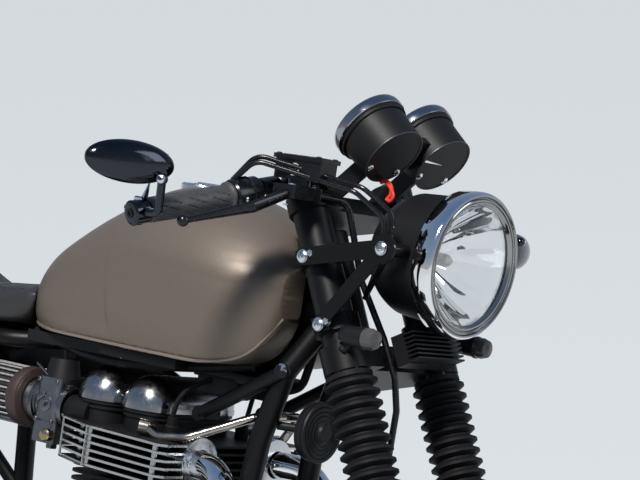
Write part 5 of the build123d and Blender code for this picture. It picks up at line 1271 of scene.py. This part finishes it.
def frame_trim():
    """Pivot caps, engine bolts and frame plugs."""
    bm = bmesh.new()
    for side in (-1, 1):
        out = LEFT * side
        lathe(bm, [(0, 16), (3, 16), (5, 13), (5, 8), (3.5, 7), (3.5, 0)], aim((486, side * 115, 395), out),
              40)
        for x, z in ((1052, 250), (640, 206)):
            hex_bolt(bm, (x, side * (79 if x > 1000 else 96), z), out, 9, 6)
        lathe(bm, [(0, 10), (3, 10), (4, 8), (4, 0)], aim((1126, side * 84, 768), out), 24, 1)
    return piece("frame_trim", bm, "cradle_rails", ["bright_steel", "satin_black"])


def under_tank():
    """Ignition coils, their bracket and the wiring loom that fill the space under the tank."""
    bm = bmesh.new()
    block(bm, Matrix.Translation((998, 0, 742)), (118, 104, 14), 0, 2)
    for side in (-1, 1):
        block(bm, Matrix.Translation((985, side * 34, 728)), (78, 36, 34), 0, 5)
        lathe(bm, [(0, 9), (12, 9), (14, 7), (14, 0)], aim((1024, side * 34, 728), AHEAD), 20)
        tube(bm,
             smooth_path([(1036, side * 34, 728), (1062, side * 38, 740), (1078, side * 30, 765),
                          (1090, side * 24, 800)], 8), 6, 1, 10)
        tube(bm,
             smooth_path([(640, side * 74, 752), (760, side * 84, 734), (860, side * 78, 736),
                          (950, side * 60, 746), (1040, side * 44, 762)], 8), 7, 1, 10)
        block(bm, Matrix.Translation((868, side * 84, 748)), (150, 26, 16), 0, 3)
    return piece("coils_and_loom", bm, "battery_box", ["satin_black", "rubber"])


def shock_trim():
    """Washers and bolts of the shocks' eyes."""
    bm = bmesh.new()
    for side in (-1, 1):
        out = LEFT * side
        for x, z in ((44, 352), (176, 694)):
            lathe(bm, [(0, 15), (2.4, 15), (3.4, 12), (3.4, 0)], aim((x, side * 152, z), out), 32)
            hex_bolt(bm, (x, side * 158, z), out, 8, 6)
    return piece("shock_trim", bm, "rear_shocks", ["bright_steel"])


def footrest_trim():
    """Ribbed rubbers on the footrests and the pedals' toe pegs."""
    bm = bmesh.new()
    for side in (-1, 1):
        outline = [(0, 0), (0, 14)]
        for number in range(9):
            outline += [(2 + number * 9, 15.6), (7 + number * 9, 15.6), (8 + number * 9, 13.8)]
        outline += [(86, 13), (87, 0)]
        lathe(bm, outline, aim((430, side * 140, 392), LEFT * side), 28)
        outline = [(0, 0), (0, 9)]
        for number in range(5):
            outline += [(2 + number * 7, 10.4), (6 + number * 7, 10.4), (7 + number * 7, 8.8)]
        outline += [(40, 8), (41, 0)]
        lathe(bm, outline, aim((556, side * 155, 376), LEFT * side), 24)
    return piece("footrest_rubbers", bm, "footrests", ["rubber"])


def stand_trim():
    """Pivot bolt of the side stand."""
    bm = bmesh.new()
    along = Vector((0.25, 0.45, -0.857)).normalized()
    axis = Vector((0, -along.z, along.y)).normalized()
    pivot = Vector((600, 138, 186))
    hex_bolt(bm, pivot + axis * 10, axis, 9, 7)
    return piece("stand_bolt", bm, "side_stand", ["bright_steel"])


def horn_trim():
    """Ringed face of the horn."""
    bm = bmesh.new()
    lathe(bm, [(-6, 42.4), (-4, 43), (-2, 42), (-2, 38), (-3.4, 36), (-1.4, 33), (-3, 30), (-1, 27),
               (-2.6, 24), (-0.4, 21), (-1.6, 18), (0.6, 14), (4, 12), (4, 0)], aim((1162, -20, 690), AHEAD),
          64)
    return piece("horn_face", bm, "horn", ["satin_black"], math.radians(20))


class MOTORCYCLE_OT_skins(bpy.types.Operator):
    """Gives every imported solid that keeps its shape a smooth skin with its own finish"""
    bl_idname = "motorcycle.skins"
    bl_label = "Skins"

    def execute(self, context):
        for node in NODE_FINISH:
            dressed_copy(node)
        return {"FINISHED"}


class MOTORCYCLE_OT_headlamp(bpy.types.Operator):
    """Builds the headlamp's rim, reflector and bracket bolts"""
    bl_idname = "motorcycle.headlamp"
    bl_label = "Headlamp"

    def execute(self, context):
        headlamp_rim()
        headlamp_reflector(context.scene.motorcycle.flute_depth * MM)
        lamp_bracket_bolts()
        return {"FINISHED"}


class MOTORCYCLE_OT_instruments(bpy.types.Operator):
    """Builds the gauges' bezels, dials and screws"""
    bl_idname = "motorcycle.instruments"
    bl_label = "Instruments"

    def execute(self, context):
        gauge_bezels()
        gauge_dials()
        gauge_trim()
        return {"FINISHED"}


class MOTORCYCLE_OT_bars(bpy.types.Operator):
    """Builds the grips, the bar ends and the details of the controls"""
    bl_idname = "motorcycle.bars"
    bl_label = "Handlebars"

    def execute(self, context):
        grips(context.scene.motorcycle.groove_depth * MM)
        bar_end_trim()
        control_details()
        return {"FINISHED"}


class MOTORCYCLE_OT_tank(bpy.types.Operator):
    """Builds the tank's pressed skin, its seam and its cap's trim"""
    bl_idname = "motorcycle.tank"
    bl_label = "Tank"

    def execute(self, context):
        tank_skin(context.scene.motorcycle.knee_depth * MM)
        tank_seam_painted_highlight()
        tank_cap_trim()
        return {"FINISHED"}


class MOTORCYCLE_OT_seat(bpy.types.Operator):
    """Builds the padded seat and its stitches"""
    bl_idname = "motorcycle.seat"
    bl_label = "Seat"

    def execute(self, context):
        seat_pad(context.scene.motorcycle.channel_depth * MM)
        seat_stitches()
        return {"FINISHED"}


class MOTORCYCLE_OT_wheels(bpy.types.Operator):
    """Builds the tyres' tread, the spoke nipples and the disc bolts"""
    bl_idname = "motorcycle.wheels"
    bl_label = "Wheels"

    def execute(self, context):
        for end in WHEELS:
            tyre(end, context.scene.motorcycle.tread_depth * MM)
            wheel_trim(end)
        disc_bolts()
        return {"FINISHED"}


class MOTORCYCLE_OT_engine(bpy.types.Operator):
    """Builds the engine's bolts, the carburettors' details, the filters' ends and the exhausts' trim"""
    bl_idname = "motorcycle.engine"
    bl_label = "Engine"

    def execute(self, context):
        engine_bolts()
        head_trim()
        carburettor_trim()
        filter_trim()
        exhaust_trim()
        silencer_trim()
        horn_trim()
        chain_pins()
        return {"FINISHED"}


class MOTORCYCLE_OT_chassis(bpy.types.Operator):
    """Builds the fasteners of the fork, the frame, the shocks, the footrests and the stand"""
    bl_idname = "motorcycle.chassis"
    bl_label = "Chassis fasteners"

    def execute(self, context):
        fork_trim()
        caliper_trim()
        frame_trim()
        under_tank()
        shock_trim()
        footrest_trim()
        stand_trim()
        return {"FINISHED"}


class MOTORCYCLE_OT_lamps(bpy.types.Operator):
    """Builds the indicator rings, the tail lens and the plate's edge"""
    bl_idname = "motorcycle.lamps"
    bl_label = "Small lamps"

    def execute(self, context):
        indicator_trim()
        tail_lens()
        plate_trim()
        return {"FINISHED"}


class MOTORCYCLE_OT_stage(bpy.types.Operator):
    """Adds the floor, the sky, the lamps and the camera"""
    bl_idname = "motorcycle.stage"
    bl_label = "Stage"

    def execute(self, context):
        settings = context.scene.motorcycle
        add_floor()
        add_world()
        add_camera()
        add_lamp("key", (1.6, -3.4, 6.0), LAMPS_FACE, 1.0, settings.key_power, (1.0, 0.97, 0.92))
        add_lamp("fill", (4.5, 2.5, 3.0), LAMPS_FACE, 2.5, settings.fill_power, (0.9, 0.95, 1.0))
        bpy.context.scene.view_settings.view_transform = "Standard"
        return {"FINISHED"}


class MOTORCYCLE_PT_panel(bpy.types.Panel):
    """Panel that lists the groups of pieces"""
    bl_idname = "MOTORCYCLE_PT_panel"
    bl_label = "Motorcycle"
    bl_space_type = "VIEW_3D"
    bl_region_type = "UI"
    bl_category = "Motorcycle"

    def draw(self, context):
        for operator in OPERATORS:
            self.layout.operator(operator.bl_idname)


OPERATORS = [MOTORCYCLE_OT_skins, MOTORCYCLE_OT_headlamp, MOTORCYCLE_OT_instruments, MOTORCYCLE_OT_bars,
             MOTORCYCLE_OT_tank, MOTORCYCLE_OT_seat, MOTORCYCLE_OT_wheels, MOTORCYCLE_OT_engine,
             MOTORCYCLE_OT_chassis, MOTORCYCLE_OT_lamps, MOTORCYCLE_OT_stage]
CLASSES = [MOTORCYCLE_PG_settings, *OPERATORS, MOTORCYCLE_PT_panel]


def register():
    for cls in CLASSES:
        bpy.utils.register_class(cls)
    bpy.types.Scene.motorcycle = bpy.props.PointerProperty(type=MOTORCYCLE_PG_settings)


def unregister():
    del bpy.types.Scene.motorcycle
    for cls in reversed(CLASSES):
        bpy.utils.unregister_class(cls)


def main():
    register()
    for operator in OPERATORS:
        group, name = operator.bl_idname.split(".")
        getattr(getattr(bpy.ops, group), name)()
    bpy.context.view_layer.update()


if __name__ == "__main__":
    main()
